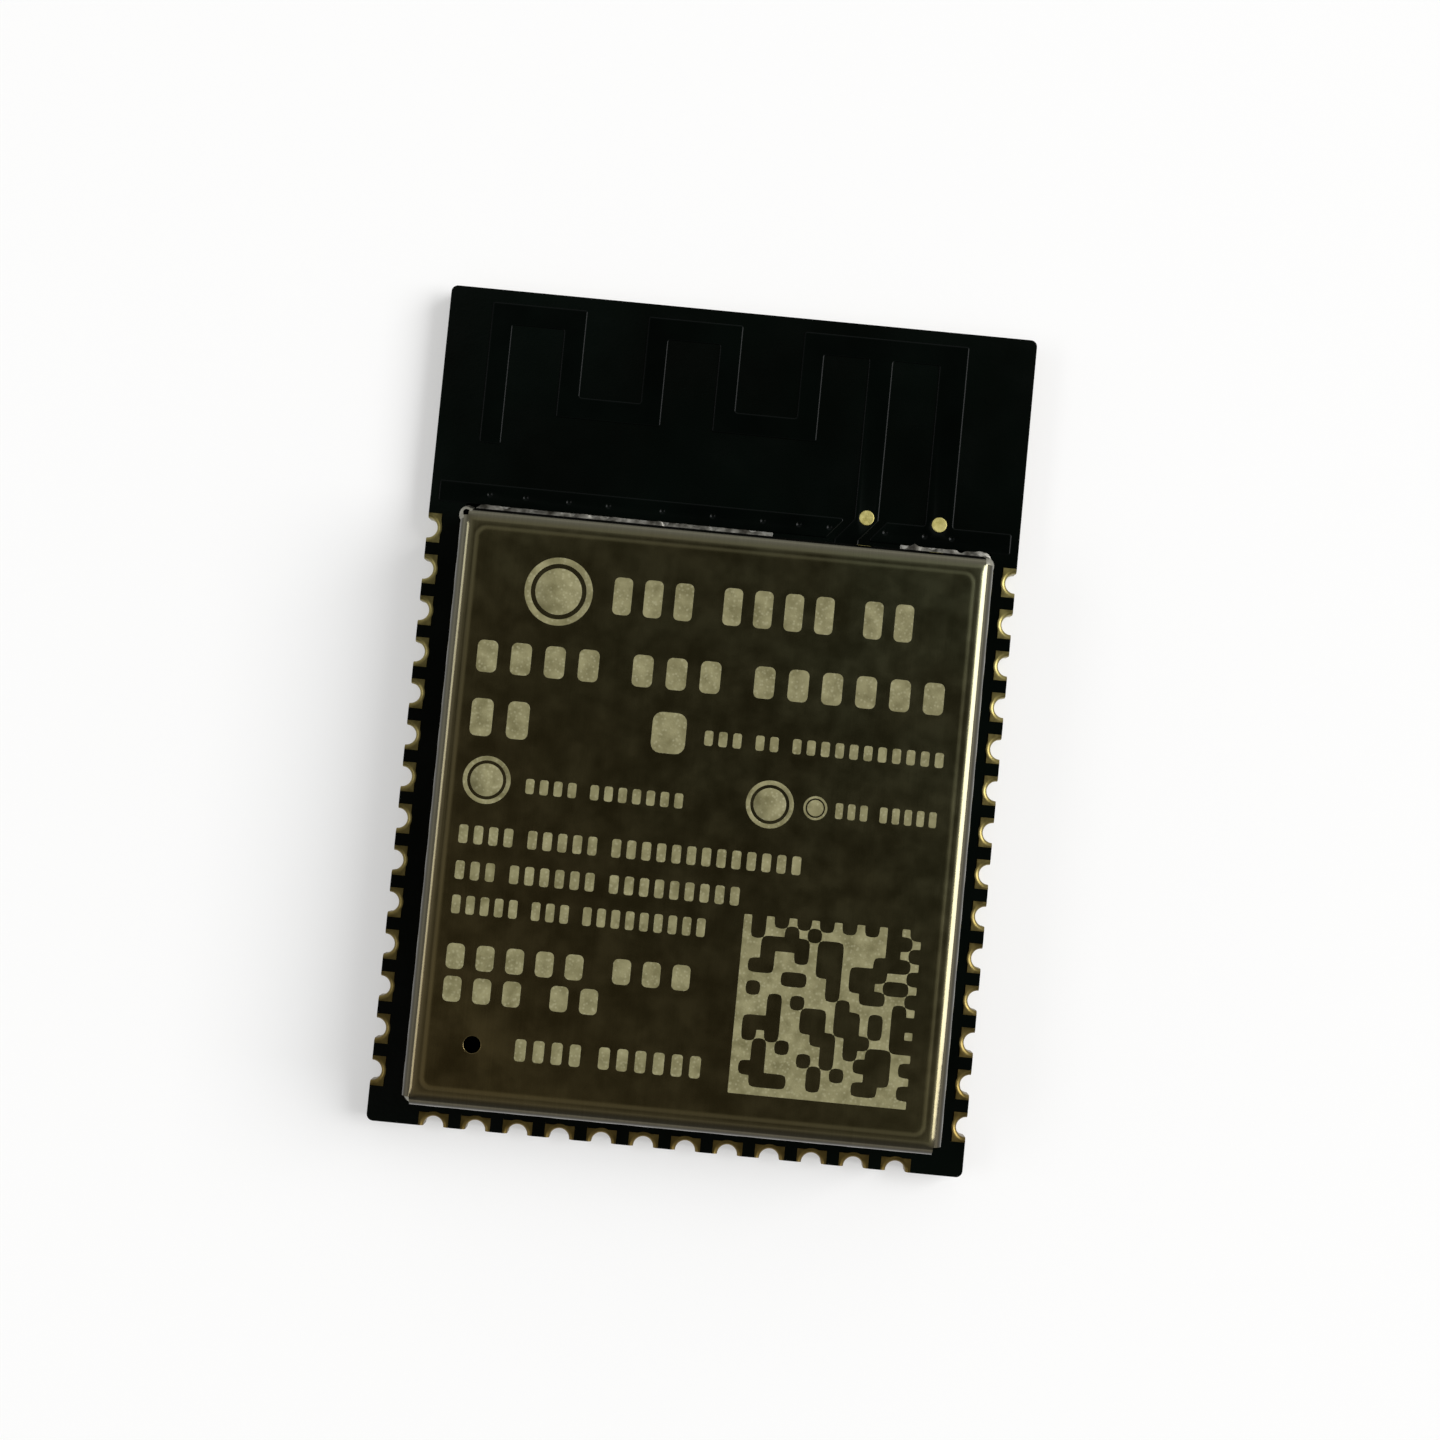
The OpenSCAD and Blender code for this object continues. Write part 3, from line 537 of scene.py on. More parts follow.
# Processor and memory: leadless packages, moulded in black epoxy over a tinned lead frame and sawn apart. The
# tool leaves a fine matt skin on top, and the processor has a small dish that marks its first lead.
mould_finish, tree, shader = new_finish("black_mould_compound")
tone = blend(tree, use(tree, patches, Size=0.5), (26, 26, 28), (38, 38, 40))
gloss = use(tree, patches, Size=0.06, Low=0.5, High=0.7)
coat(tree, shader, tone, gloss, use(tree, grains, Size=0.035), 0.004)
clear, lead_mark_in = 0.01, 0.9
lead_mark = [(0.31, 0), (0.3, 0.004), (0.285, 0.03), (0.25, 0.045), (0.12, 0.05), (0, 0.05)]
for node in ("processor_body", "memory_body"):
    low, high = extent(node)
    middle = ((low.x + high.x) / 2, (low.y + high.y) / 2)
    outline = soft_square(high.x - low.x - 2 * clear, high.y - low.y - 2 * clear, 0.05, middle, 3)
    marked = (low.x + lead_mark_in, high.y - lead_mark_in)
    dimples = [(marked, lead_mark)] if node == "processor_body" else []
    shell = plate(outline, low.z + clear, high.z, shoulder=0.03, drop=0.03, steps=3, dimples=dimples)
    package = as_piece(node + "_moulded", new_mesh(node, shell), mould_finish)
    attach(package, "root")
    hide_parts(node)

# Crystal: a pale ceramic tray with quarter-round notches at its corners, closed by a seam-welded metal lid.
# It sits on four gold pads and clocks the radio.
low, high = extent("crystal_base")
tray_low, tray_high = low.z, high.z
crystal_w, crystal_l, notch_r = high.x - low.x, high.y - low.y, 0.18
crystal_middle = ((low.x + high.x) / 2, (low.y + high.y) / 2)
tray_outline = []
for k, (x, y) in enumerate(((1, 1), (-1, 1), (-1, -1), (1, -1))):
    for step in range(7):
        turn = math.pi * (1.5 + k / 2) - math.pi / 2 * step / 6
        tray_outline.append((crystal_middle[0] + x * crystal_w / 2 + notch_r * math.cos(turn),
                             crystal_middle[1] + y * crystal_l / 2 + notch_r * math.sin(turn)))
ceramic_finish, tree, shader = new_finish("pale_ceramic")
tone = blend(tree, use(tree, patches, Size=0.4), (206, 200, 184), (228, 223, 210))
gloss = use(tree, patches, Size=0.1, Low=0.45, High=0.6)
coat(tree, shader, tone, gloss, use(tree, grains, Size=0.02), 0.001)
shell = plate(tray_outline, tray_low, tray_high, shoulder=0.02, drop=0.02, steps=3)
tray = as_piece("crystal_tray", new_mesh("crystal_tray", shell), ceramic_finish)
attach(tray, "root")
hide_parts("crystal_base")

lid_finish, tree, shader = new_finish("welded_lid_metal", metallic=1.0)
tone = blend(tree, use(tree, streaks, X=2.0, Y=0.03, Z=2.0), (176, 172, 160), (206, 203, 192))
gloss = use(tree, patches, Size=0.3, Low=0.22, High=0.36)
coat(tree, shader, tone, gloss, use(tree, streaks, X=1.5, Y=0.02, Z=1.5), 0.0008)
lid_w, lid_l, lid_corner, lid_t = crystal_w - 0.3, crystal_l - 0.3, 0.3, 0.12
seam_w, seam_t = 0.17, 0.075
seam = soft_square(lid_w, lid_l, lid_corner, crystal_middle)
crown = soft_square(lid_w - 2 * seam_w, lid_l - 2 * seam_w, lid_corner - 0.1, crystal_middle)
shells = [plate(seam, tray_high, tray_high + seam_t, shoulder=0.03, drop=0.03, steps=3),
          plate(crown, tray_high + seam_t - 0.005, tray_high + lid_t, shoulder=0.04, drop=0.04)]
lid = as_piece("crystal_lid_welded", new_mesh("crystal_lid_welded", *shells), lid_finish)
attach(lid, "root")
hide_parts("crystal_lid")
cad["crystal_pads"].data.materials.clear()
cad["crystal_pads"].data.materials.append(gold_finish)

# Chip parts: capacitors, resistors and inductors, each a fired block between two dipped and tinned ends. A
# machine sets them on paste beside the processor and the memory, and at the end of the antenna's feed.
chip_l, chip_w, cap_l, proud = 1.0, 0.5, 0.25, 0.02
chip_pitch, chip_gap, resistor_pitch = 1.3, 0.4, 0.9
beside, quarter = chip_gap + chip_l / 2, math.pi / 2
feed_y = feed_end - chip_l / 2
low, high = extent("processor_body")
processor_x, processor_y = (low.x + high.x) / 2, (low.y + high.y) / 2
capacitors = [(low.x - beside, processor_y + chip_pitch * k, 0) for k in range(-2, 3)]
capacitors += [(high.x + beside, processor_y + chip_pitch * k, 0) for k in range(-2, 2)]
capacitors += [(processor_x + chip_pitch * k, high.y + beside, quarter) for k in (1, 2)]
capacitors += [(feed_x + side * (chip_w / 2 + beside), feed_y, 0) for side in (-1, 1)]
far_x = high.x + beside + chip_l + chip_gap
inductors = [(feed_x, feed_y, quarter), (far_x, processor_y + chip_pitch, 0), (far_x, processor_y, 0)]
low, high = extent("memory_body")
resistors = [(x, (low.y + high.y) / 2 + resistor_pitch * k, 0)
             for x in (low.x - beside, high.x + beside) for k in (-1, 0, 1)]

sockets = {"Places": "Geometry", "Part": "Object", "Finish": "Material"}
chips, given, result = new_tree("chips_at_places", sockets)
turn = put(chips, "GeometryNodeInputNamedAttribute", {"Name": "turn"}, data_type="FLOAT").outputs["Attribute"]
dress(chips, repeated(chips, given["Places"], given["Part"], turn), given["Finish"], result)

capacitor_finish, tree, shader = new_finish("tan_fired_ceramic")
tone = blend(tree, use(tree, patches, Size=0.25), (150, 122, 84), (182, 150, 108))
gloss = use(tree, patches, Size=0.1, Low=0.4, High=0.55)
coat(tree, shader, tone, gloss, use(tree, grains, Size=0.03), 0.0015)

resistor_finish, tree, shader = new_finish("film_on_alumina")
film_z = board_top + 0.27
coated = sums(tree, "GREATER_THAN", axes(tree, spot_in(tree))["Z"], film_z)
film = blend(tree, use(tree, patches, Size=0.2), (20, 20, 22), (34, 34, 37))
alumina = blend(tree, use(tree, patches, Size=0.2), (214, 212, 205), (232, 231, 226))
gloss = use(tree, patches, Size=0.1, Low=0.35, High=0.5)
coat(tree, shader, blend(tree, coated, alumina, film), gloss, use(tree, patches, Size=0.08), 0.002)

inductor_finish, tree, shader = new_finish("grey_ferrite")
tone = blend(tree, use(tree, patches, Size=0.2), (66, 74, 86), (92, 100, 112))
gloss = use(tree, patches, Size=0.1, Low=0.45, High=0.6)
coat(tree, shader, tone, gloss, use(tree, grains, Size=0.025), 0.002)

chip_kinds = {
    "capacitor": (capacitors, 0.5, capacitor_finish, "capacitor_ceramic"),
    "resistor": (resistors, 0.35, resistor_finish, "resistor_film"),
    "inductor": (inductors, 0.55, inductor_finish, "inductor_ferrite"),
}
for kind, (places, height, finish, slot) in chip_kinds.items():
    spots = bpy.data.meshes.new(kind + "_places")
    spots.from_pydata([(x, y, board_top) for x, y, _ in places], [], [])
    spots.attributes.new("turn", "FLOAT", "POINT").data.foreach_set("value", [turn for _, _, turn in places])
    body_l = chip_l - 2 * cap_l + 2 * proud
    body_outline = soft_square(body_l, chip_w - 2 * proud, 0.04, steps=3)
    body = [plate(body_outline, proud, height - proud, shoulder=0.03, drop=0.03, steps=3)]
    ends = []
    for side in (-1, 1):
        end_outline = soft_square(cap_l, chip_w, 0.06, (side * (chip_l - cap_l) / 2, 0), 4)
        ends.append(plate(end_outline, 0, height, shoulder=0.05, drop=0.05))
    for label, shells, dressed, record_slot in (("bodies", body, finish, slot),
                                                ("caps", ends, tin_finish, "tinned_metal")):
        part = pattern(kind + "_part", *shells)
        name = f"{kind}_{label}"
        piece = as_piece(name + "_placed", grown(name, chips, spots.copy(), Part=part, Finish=dressed))
        bpy.data.objects.remove(part)
        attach(piece, "root")
        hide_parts(name)

# Shield can: one sheet of nickel silver, blanked with a marker hole and a window for the antenna's feed,
# pressed up a little in the middle and folded down on four sides with open corners. Its top is browner
# towards
# -X and -Y and greener towards +X and +Y. The folds are rubbed smoother than the top. Their colour holds
# painted
# shade: darker towards -Y, and darker still on the outer, lower part of each fold and the top of its wall.
low, high = extent("shield_can")
can_x, can_y = (low.x + high.x) / 2, (low.y + high.y) / 2
half_w, half_l = (high.x - low.x) / 2, (high.y - low.y) / 2
bend_r, sheet_t, notch_w, near_corner = 0.47, 0.2, 0.27, 0.12
panel_z, panel_rise = high.z - 0.0025, 0.0165
rim_z, rim_lean = panel_z - panel_rise, math.radians(5)
panel_gap, slope_w, panel_corner = 0.06, 0.2, 0.4
window_middle, window_w, window_z = feed_x - 0.3 - can_x, 3.9, board_top + 0.6
window_low, window_high = window_middle - window_w / 2, window_middle + window_w / 2
marker_r, marker = 0.25, (1.95 - half_w, 1.95 - half_l)
fold_w = bend_r * (1 - math.sin(rim_lean))
flat_x, flat_y = half_w - fold_w, half_l - fold_w
fold_z = rim_z - panel_gap * math.tan(rim_lean)
wall_z = fold_z - bend_r * math.cos(rim_lean)


def long_loop(outline, step=1.5):
    """The same outline with points along its long edges."""
    loop = []
    for k, here in enumerate(outline):
        here, after = Vector(here), Vector(outline[(k + 1) % len(outline)])
        parts = max(1, math.ceil((after - here).length / step))
        loop += [tuple(here.lerp(after, part / parts)) for part in range(parts)]
    return loop


def folded_can():
    """Points and faces of the whole sheet: its upper face, the same face a sheet lower, and the cut edges."""
    # The flat top: its edge, the slope up to the panel and the marker hole
    near_x, near_y = flat_x - near_corner, flat_y - near_corner
    south_side = [(-flat_x, -flat_y), (-near_x, -flat_y), (near_x, -flat_y), (flat_x, -flat_y)]
    east_side = [(flat_x, -near_y), (flat_x, near_y)]
    north_side = [(x, flat_y) for x in (flat_x, near_x, window_high, window_low, -near_x, -flat_x)]
    west_side = [(-flat_x, near_y), (-flat_x, -near_y)]
    loops = [south_side + east_side + north_side + west_side]
    heights = [fold_z]
    slope = [(slope_w * k / 8, panel_rise * (1 - math.cos(math.pi * k / 8)) / 2) for k in range(9)]
    for depth, lift in slope + [(slope_w + 0.05, panel_rise)]:
        foot = panel_gap + depth
        outline = soft_square(2 * (flat_x - foot), 2 * (flat_y - foot), panel_corner - depth, steps=10)
        loops.append(long_loop(outline))
        heights.append(rim_z + lift)
    for flare, drop in ((0.02, 0), (0.01, 0.001), (0.004, 0.005), (0, 0.012)):
        loops.append(ring(marker, marker_r + flare, 40))
        heights.append(panel_z - drop)
    upper, lower, known, faces = [], [], {}, []

    def corner(above, below):
        key = tuple(round(c, 5) for c in above)
        if key not in known:
            known[key] = len(upper)
            upper.append(Vector(above))
            lower.append(Vector(below))
        return known[key]

    numbers, hole = [], set()
    for loop, z in zip(loops, heights):
        inner = 1 - sheet_t * math.sin(rim_lean) / flat_x if z == fold_z else 1.0
        found = [corner((x, y, z), (x * inner, y * inner, z - sheet_t)) for x, y in loop]
        numbers += found
        hole = set(found)
    for face in fill(loops):
        face = [numbers[k] for k in face]
        if not set(face) <= hole:
            faces.append(face)
    # The folds and the walls, one side after another; each fold widens into the notches as it turns down
    overlap = fold_w - notch_w
    first_turn = math.asin(overlap / bend_r + math.sin(rim_lean))
    turns = [rim_lean + (first_turn - rim_lean) * k / 3 for k in range(4)]
    turns += [first_turn + (math.pi / 2 - first_turn) * k / 11 for k in range(1, 12)]
    rows = [(turn, 0.0) for turn in turns] + [(math.pi / 2, wall_z - z) for z in (window_z, board_top)]
    for side in range(4):
        base, half_run, near = (flat_x, flat_y, near_y) if side % 2 == 0 else (flat_y, flat_x, near_x)
        window = [-window_high, -window_low] if side == 1 else []
        cos, sin = (1, 0, -1, 0)[side], (0, 1, 0, -1)[side]
        grid = []
        for turn, down in rows:
            line = []
            for column in [-half_run, -near] + window + [near, half_run]:
                ends = []
                for radius in (bend_r, bend_r - sheet_t):
                    out = radius * math.sin(turn) - bend_r * math.sin(rim_lean)
                    spread = min(overlap, out) if abs(column) == half_run else 0.0
                    out, along = base + out, column + math.copysign(spread, column)
                    z = wall_z + radius * math.cos(turn) - down
                    ends.append((out * cos - along * sin, out * sin + along * cos, z))
                line.append(corner(*ends))
            grid.append(line)
        for j in range(len(rows) - 1):
            for k in range(len(grid[0]) - 1):
                if not (window and k == 2 and j == len(rows) - 2):
                    faces.append([grid[j][k], grid[j + 1][k], grid[j + 1][k + 1], grid[j][k + 1]])
    # An edge that only one face uses is a cut edge, where the upper and the lower face are joined
    directed = {(face[k - 1], face[k]) for face in faces for k in range(len(face))}
    count = len(upper)
    cut = [(b, a, a + count, b + count) for a, b in directed if (b, a) not in directed]
    points = [(p.x + can_x, p.y + can_y, p.z) for p in upper + lower]
    return points, faces + [[k + count for k in face[::-1]] for face in faces] + cut


can_finish, tree, shader = new_finish("rolled_nickel_silver", metallic=1.0)
grain = use(tree, streaks, X=0.05, Y=2.6, Z=2.6)
place = axes(tree, spot_in(tree))
flat = graded(tree, place["Z"], fold_z - 0.06, panel_z - 0.004)
towards_foot = graded(tree, place["Y"], can_y + half_l, can_y - half_l)
towards_left = graded(tree, place["X"], can_x + half_w, can_x - half_w)
# The top's colour is browner towards -X and -Y and greener towards +X and +Y.
front_left_share = pick(tree, 0.5, towards_foot, towards_left)
# Painted shade: the folds' colour is darker towards -Y than towards +Y.
bright = blend(tree, grain, (108, 105, 88), (130, 127, 109))
dull = blend(tree, grain, (95, 89, 72), (115, 109, 91))
folds = blend(tree, towards_foot, bright, dull)
# Painted shade: the outer, lower part of each fold and the top of its wall are painted darker, towards black.
painted_fold_shade = graded(tree, place["Z"], wall_z + 0.93 * bend_r, wall_z + 0.62 * bend_r, last=0.68)
above_wall = graded(tree, place["Z"], wall_z - 0.6 * bend_r, wall_z + 0.3 * bend_r)
folds = blend(tree, sums(tree, "MULTIPLY", painted_fold_shade, above_wall), folds, (0, 0, 0))
cool_end = blend(tree, grain, (104, 108, 83), (122, 126, 99))
warm_end = blend(tree, grain, (112, 96, 58), (130, 113, 75))
tarnished = blend(tree, front_left_share, cool_end, warm_end)
stains = use(tree, patches, Size=3.2, Low=0.0, High=0.35)
tarnished = blend(tree, stains, tarnished, (104, 91, 62))
matt = use(tree, patches, Size=0.7, Low=0.19, High=0.26)
rubbed = use(tree, patches, Size=0.7, Low=0.08, High=0.12)
waves = use(tree, patches, Size=2.2, Low=0.0, High=2.0)
dents = use(tree, patches, Size=0.35, Low=0.0, High=0.5)
uneven_sheet = sums(tree, "ADD", sums(tree, "ADD", waves, grain), dents)
coat(tree, shader, blend(tree, flat, folds, tarnished), pick(tree, flat, rubbed, matt), uneven_sheet, 0.0011)
can = as_piece("shield_can_folded", new_mesh("shield_can_folded", folded_can()), can_finish, 50)
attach(can, "root")
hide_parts("shield_can")

# Can solder: reflowed paste that has drawn up the foot of the can. It is thick and lumpy on the side of the
# antenna and a thin line along the other walls. It has closed three corners of the can, one with a slit left
# in it, and not reached the fourth.
solder_h, north_reach, side_reach, solder_step = 0.34, 0.37, 0.13, 0.07
hollow_out, hollow_up, grit, behind_wall = 1.6, 1.3, 0.024, 0.02
end_x, end_y = half_w - notch_w, half_l - notch_w


def along_wall(start, end, outward, reach):
    """Places along a straight foot: where, which way is out, and how far the bead reaches."""
    start, end = Vector(start), Vector(end)
    steps = max(2, round((end - start).length / solder_step))
    return [(start.lerp(end, k / steps), Vector(outward), reach) for k in range(steps + 1)]


def round_corner(first, last, middle, reach, last_reach, steps=12):
    """The same round a notch, from one angle to another."""
    places = []
    for k in range(1, steps):
        turn = math.radians(first + (last - first) * k / steps)
        spoke = Vector((math.cos(turn), math.sin(turn)))
        places.append((Vector(middle) + spoke * notch_w, spoke, reach + (last_reach - reach) * k / steps))
    return places


west_path = along_wall((window_low, half_l), (-end_x, half_l), (0, 1), north_reach)
west_path += round_corner(90, 180, (-end_x, end_y), north_reach, side_reach)
west_path += along_wall((-half_w, end_y), (-half_w, -end_y), (-1, 0), side_reach)
west_path += round_corner(180, 270, (-end_x, -end_y), side_reach, side_reach)
west_path += along_wall((-end_x, -half_l), (end_x, -half_l), (0, -1), side_reach)
east_path = along_wall((window_high, half_l), (end_x, half_l), (0, 1), north_reach)
east_path += round_corner(90, 0, (end_x, end_y), north_reach, side_reach)
east_path += along_wall((half_w, end_y), (half_w, -end_y), (1, 0), side_reach)

# Each lump on the side of the antenna: where it is, its size and its spread
lumps = [(-4.65, 0.3, 0.08), (-2.09, 0.28, 0.1), (-7.2, 0.12, 0.3), (5.68, 0.42, 0.13), (7.55, 0.16, 0.25)]


def wander(foot, per_mm, layer):
    """A number from about -1 to 1 that changes slowly along the bead."""
    return noise.noise(Vector((foot.x * per_mm, foot.y * per_mm, layer)))


def solder_run(path, section=11):
    """A bead along a path: hollow against the wall, thin at its toe, uneven along its length."""
    points = []
    for number, (foot, outward, reach) in enumerate(path):
        taper = min(1.0, 0.1 + 0.4 * math.sqrt(min(number, len(path) - 1 - number)))
        height = solder_h * (0.85 + 0.35 * wander(foot, 1.3, 9.0))
        reach *= min(1 + 0.6 * wander(foot, 3.3, 3.0), 1.25)
        if foot.y > half_l - notch_w:
            for x, size, spread in lumps:
                near = math.exp(-((foot.x - x) / spread) ** 2)
                reach += 0.55 * size * near
                height += 0.25 * size * near
        reach, height = reach * taper, height * taper
        for k in range(section):
            t = k / (section - 1)
            out, up = reach * (1 - t) ** hollow_out, height * t ** hollow_up
            bump = grit * wander(foot, 5.5, 4 * t) * math.sin(math.pi * t)
            out, up = out + bump * min(1, reach / 0.2), up + bump
            spot = foot + outward * out
            points.append((spot.x + can_x, spot.y + can_y, board_top + up))
        spot = foot - outward * behind_wall
        points.append((spot.x + can_x, spot.y + can_y, board_top + height))
        points.append((spot.x + can_x, spot.y + can_y, board_top))
    return points, skin(len(path), section + 2, ends=True)


def corner_fill(east, north, fullness, gap=0.0):
    """Solder that has closed the notch between two walls, just below the round of their folds. A gap leaves a
    slit open beside the sheet."""
    count, rows, below, start_out, foot_out = 13, 13, 0.02, 0.05, 0.03
    points = []
    for row in range(rows):
        along = math.pi / 2 * row / (rows - 1)
        full = 1 + (fullness - 1) * math.sin(2 * along)
        slit = gap * math.sin(2 * along)
        first = math.asin((start_out + slit) / bend_r + math.sin(rim_lean))
        section = []
        for k in range(count - 2):
            turn = first + (math.pi / 2 - first) * k / (count - 3)
            out = bend_r * (math.sin(turn) - math.sin(rim_lean)) - below
            section.append((out, wall_z + bend_r * math.cos(turn) - below))
        section += [(fold_w - below, board_top), (foot_out + 1.4 * slit, board_top)]
        for out, z in section:
            x, y = flat_x + full * out * math.cos(along), flat_y + full * out * math.sin(along)
            points.append((can_x + east * x, can_y + north * y, z))
    return points, skin(rows, count, ends=True)


solder_finish, tree, shader = new_finish("reflowed_solder", metallic=1.0)
tone = blend(tree, use(tree, patches, Size=0.22), (100, 99, 93), (184, 182, 173))
tone = blend(tree, use(tree, patches, Size=0.4, Low=0.0, High=0.9), tone, (50, 47, 40))
climb = graded(tree, axes(tree, spot_in(tree))["Z"], board_top + 0.5, board_top + 1.3)
gloss = use(tree, patches, Size=0.15, Low=0.3, High=0.55)
coat(tree, shader, blend(tree, climb, tone, (136, 134, 122)), gloss, use(tree, patches, Size=0.13), 0.003)
shells = [solder_run(west_path), solder_run(east_path), corner_fill(-1, -1, 1.0), corner_fill(1, 1, 1.25),
          corner_fill(-1, 1, 1.4, gap=0.29)]
solder = as_piece("can_solder_bead", new_mesh("can_solder_bead", *shells), solder_finish, 70)
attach(solder, "root")
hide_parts("can_solder")

# Laser marks: the can's upper face is frosted by a laser in lines of plain blocks, in ringed discs and in a
# square of small cells. The frosting is a few thousandths of a millimetre thick and catches the light from
# all sides.
mark_low, mark_high = panel_z - 0.004, panel_z + 0.002


def mark(outline, dimples=()):
    """A thin layer of frosting with this outline."""
    return plate(outline, mark_low, mark_high, shoulder=0.004, drop=0.001, steps=1, dimples=dimples)


def block(x, y, width, height):
    """A plain block with soft corners."""
    return mark(soft_square(width, height, 0.28 * min(width, height), (x, y), 4))


def ringed(x, y, size):
    """A disc inside a ring: the groove between them goes down to the bare sheet."""
    groove = [(0.41 * size, 0), (0.405 * size, 0.0055), (0.345 * size, 0.0055), (0.34 * size, 0)]
    return mark(ring((x, y), size / 2), [((x, y), groove)])


# Left end, right end, middle, height of the blocks, and blocks in each group of the line
mark_lines = [
    (-3.0, 5.8, 3.49, 1.1, (3, 4, 2)),
    (-6.8, 6.9, 1.37, 0.94, (4, 3, 6)),
    (-6.8, -5.1, -0.42, 1.1, (2,)),
    (0.05, 7.05, -0.4, 0.44, (3, 2, 11)),
    (-5.0, -0.4, -2.3, 0.44, (4, 7)),
    (4.05, 7.0, -2.15, 0.46, (3, 5)),
    (-6.8, 3.2, -3.85, 0.54, (4, 5, 13)),
    (-6.8, 1.5, -4.9, 0.54, (3, 6, 9)),
    (-6.8, 0.6, -5.9, 0.54, (5, 3, 9)),
    (-6.8, 0.3, -7.4, 0.74, (5, 3)),
    (-6.8, -2.3, -8.35, 0.74, (3, 2)),
    (-4.55, 0.85, -9.93, 0.64, (4, 6)),
]
mark_shells = [ringed(-4.61, 3.45, 2.0), ringed(-6.15, -2.23, 1.4), ringed(2.13, -2.15, 1.4),
               block(-1.0, -0.36, 1.0, 1.2), ringed(3.46, -2.13, 0.7)]
block_share, word_gap = 0.6, 0.6
for left, right, y, height, groups in mark_lines:
    pitch = (right - left) / (sum(groups) + word_gap * (len(groups) - 1) - (1 - block_share))
    x = left + block_share * pitch / 2
    for group in groups:
        mark_shells += [block(x + k * pitch, y, block_share * pitch, height) for k in range(group)]
        x += (group + word_gap) * pitch

mark_finish, tree, shader = new_finish("laser_frosted_metal", metallic=0.0, specular=0.3)
tone = blend(tree, use(tree, patches, Size=0.45), (112, 107, 72), (146, 141, 104))
flecks = graded(tree, use(tree, grains, Size=0.11), 0.05, 0.4, 0.5, 0.0)
gloss = use(tree, patches, Size=0.15, Low=0.5, High=0.7)
coat(tree, shader, blend(tree, flecks, tone, (176, 172, 138)), gloss, use(tree, grains, Size=0.05), 0.003)

# The square of cells: full along two sides, every other cell along the other two, and scattered within.
# The beam is round, so the corners come out soft
sockets = {"Cells": "Int", "Step": "Float", "Share": "Float", "Seed": "Int", "Depth": "Float",
           "Middle": "Vector", "Finish": "Material"}
cell_field, given, result = new_tree("field_of_cells", sockets)
size = sums(cell_field, "MULTIPLY", given["Cells"], given["Step"])
corners = sums(cell_field, "ADD", given["Cells"], 1.0)
sheet = put(cell_field, "GeometryNodeMeshGrid", {"Size X": size, "Size Y": size, "Vertices X": corners,
                                                 "Vertices Y": corners}).outputs["Mesh"]
half_size = sums(cell_field, "MULTIPLY", size, 0.5)
spot = put(cell_field, "GeometryNodeInputPosition").outputs[0]
along = axes(cell_field, spot)
number = []
for axis in "XY":
    steps = sums(cell_field, "DIVIDE", sums(cell_field, "ADD", along[axis], half_size), given["Step"])
    number.append(sums(cell_field, "FLOOR", steps))
last_cell = sums(cell_field, "SUBTRACT", given["Cells"], 1.5)
near_side = sums(cell_field, "LESS_THAN", sums(cell_field, "MINIMUM", *number), 0.5)
far_side = sums(cell_field, "GREATER_THAN", sums(cell_field, "MAXIMUM", *number), last_cell)
every_other = sums(cell_field, "MODULO", sums(cell_field, "ADD", *number), 2.0)
scattered = put(cell_field, "FunctionNodeRandomValue", {"Probability": given["Share"], "Seed": given["Seed"]},
                data_type="BOOLEAN").outputs[3]
inside = sums(cell_field, "MULTIPLY", scattered, sums(cell_field, "SUBTRACT", 1.0, far_side))
kept = sums(cell_field, "MAXIMUM", near_side, sums(cell_field, "MULTIPLY", far_side, every_other))
bare = sums(cell_field, "LESS_THAN", sums(cell_field, "MAXIMUM", kept, inside), 0.5)
sheet = put(cell_field, "GeometryNodeDeleteGeometry", {"Geometry": sheet, "Selection": bare},
            domain="FACE").outputs["Geometry"]
sheet = put(cell_field, "GeometryNodeSubdivideMesh", {"Mesh": sheet, "Level": 2}).outputs["Mesh"]
soft_spot = put(cell_field, "GeometryNodeBlurAttribute", {"Value": spot, "Iterations": 3},
                data_type="FLOAT_VECTOR").outputs[0]
sheet = put(cell_field, "GeometryNodeSetPosition", {"Geometry": sheet, "Position": soft_spot})
sheet = sheet.outputs["Geometry"]
raised = put(cell_field, "GeometryNodeExtrudeMesh", {"Mesh": sheet, "Offset Scale": given["Depth"],
                                                     "Individual": False})
foot = put(cell_field, "GeometryNodeFlipFaces", {"Mesh": sheet}).outputs["Mesh"]
whole = put(cell_field, "GeometryNodeJoinGeometry", {"Geometry": raised.outputs["Mesh"]})
cell_field.links.new(foot, whole.inputs["Geometry"])
merged = put(cell_field, "GeometryNodeMergeByDistance", {"Geometry": whole.outputs["Geometry"],
                                                         "Distance": 0.0005})
moved = put(cell_field, "GeometryNodeTransform", {"Geometry": merged.outputs["Geometry"],
                                                  "Translation": given["Middle"]})
dress(cell_field, moved.outputs["Geometry"], given["Finish"], result)
field = grown("mark_cells", cell_field, Cells=16, Step=0.33, Share=0.5, Seed=11, Depth=mark_high - mark_low,
              Middle=(4.29, -7.97, mark_low), Finish=mark_finish)
mark_shells.append(([tuple(v.co) for v in field.vertices], [list(face.vertices) for face in field.polygons]))
marks = as_piece("laser_marks", new_mesh("laser_marks", *mark_shells), mark_finish)
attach(marks, "root")

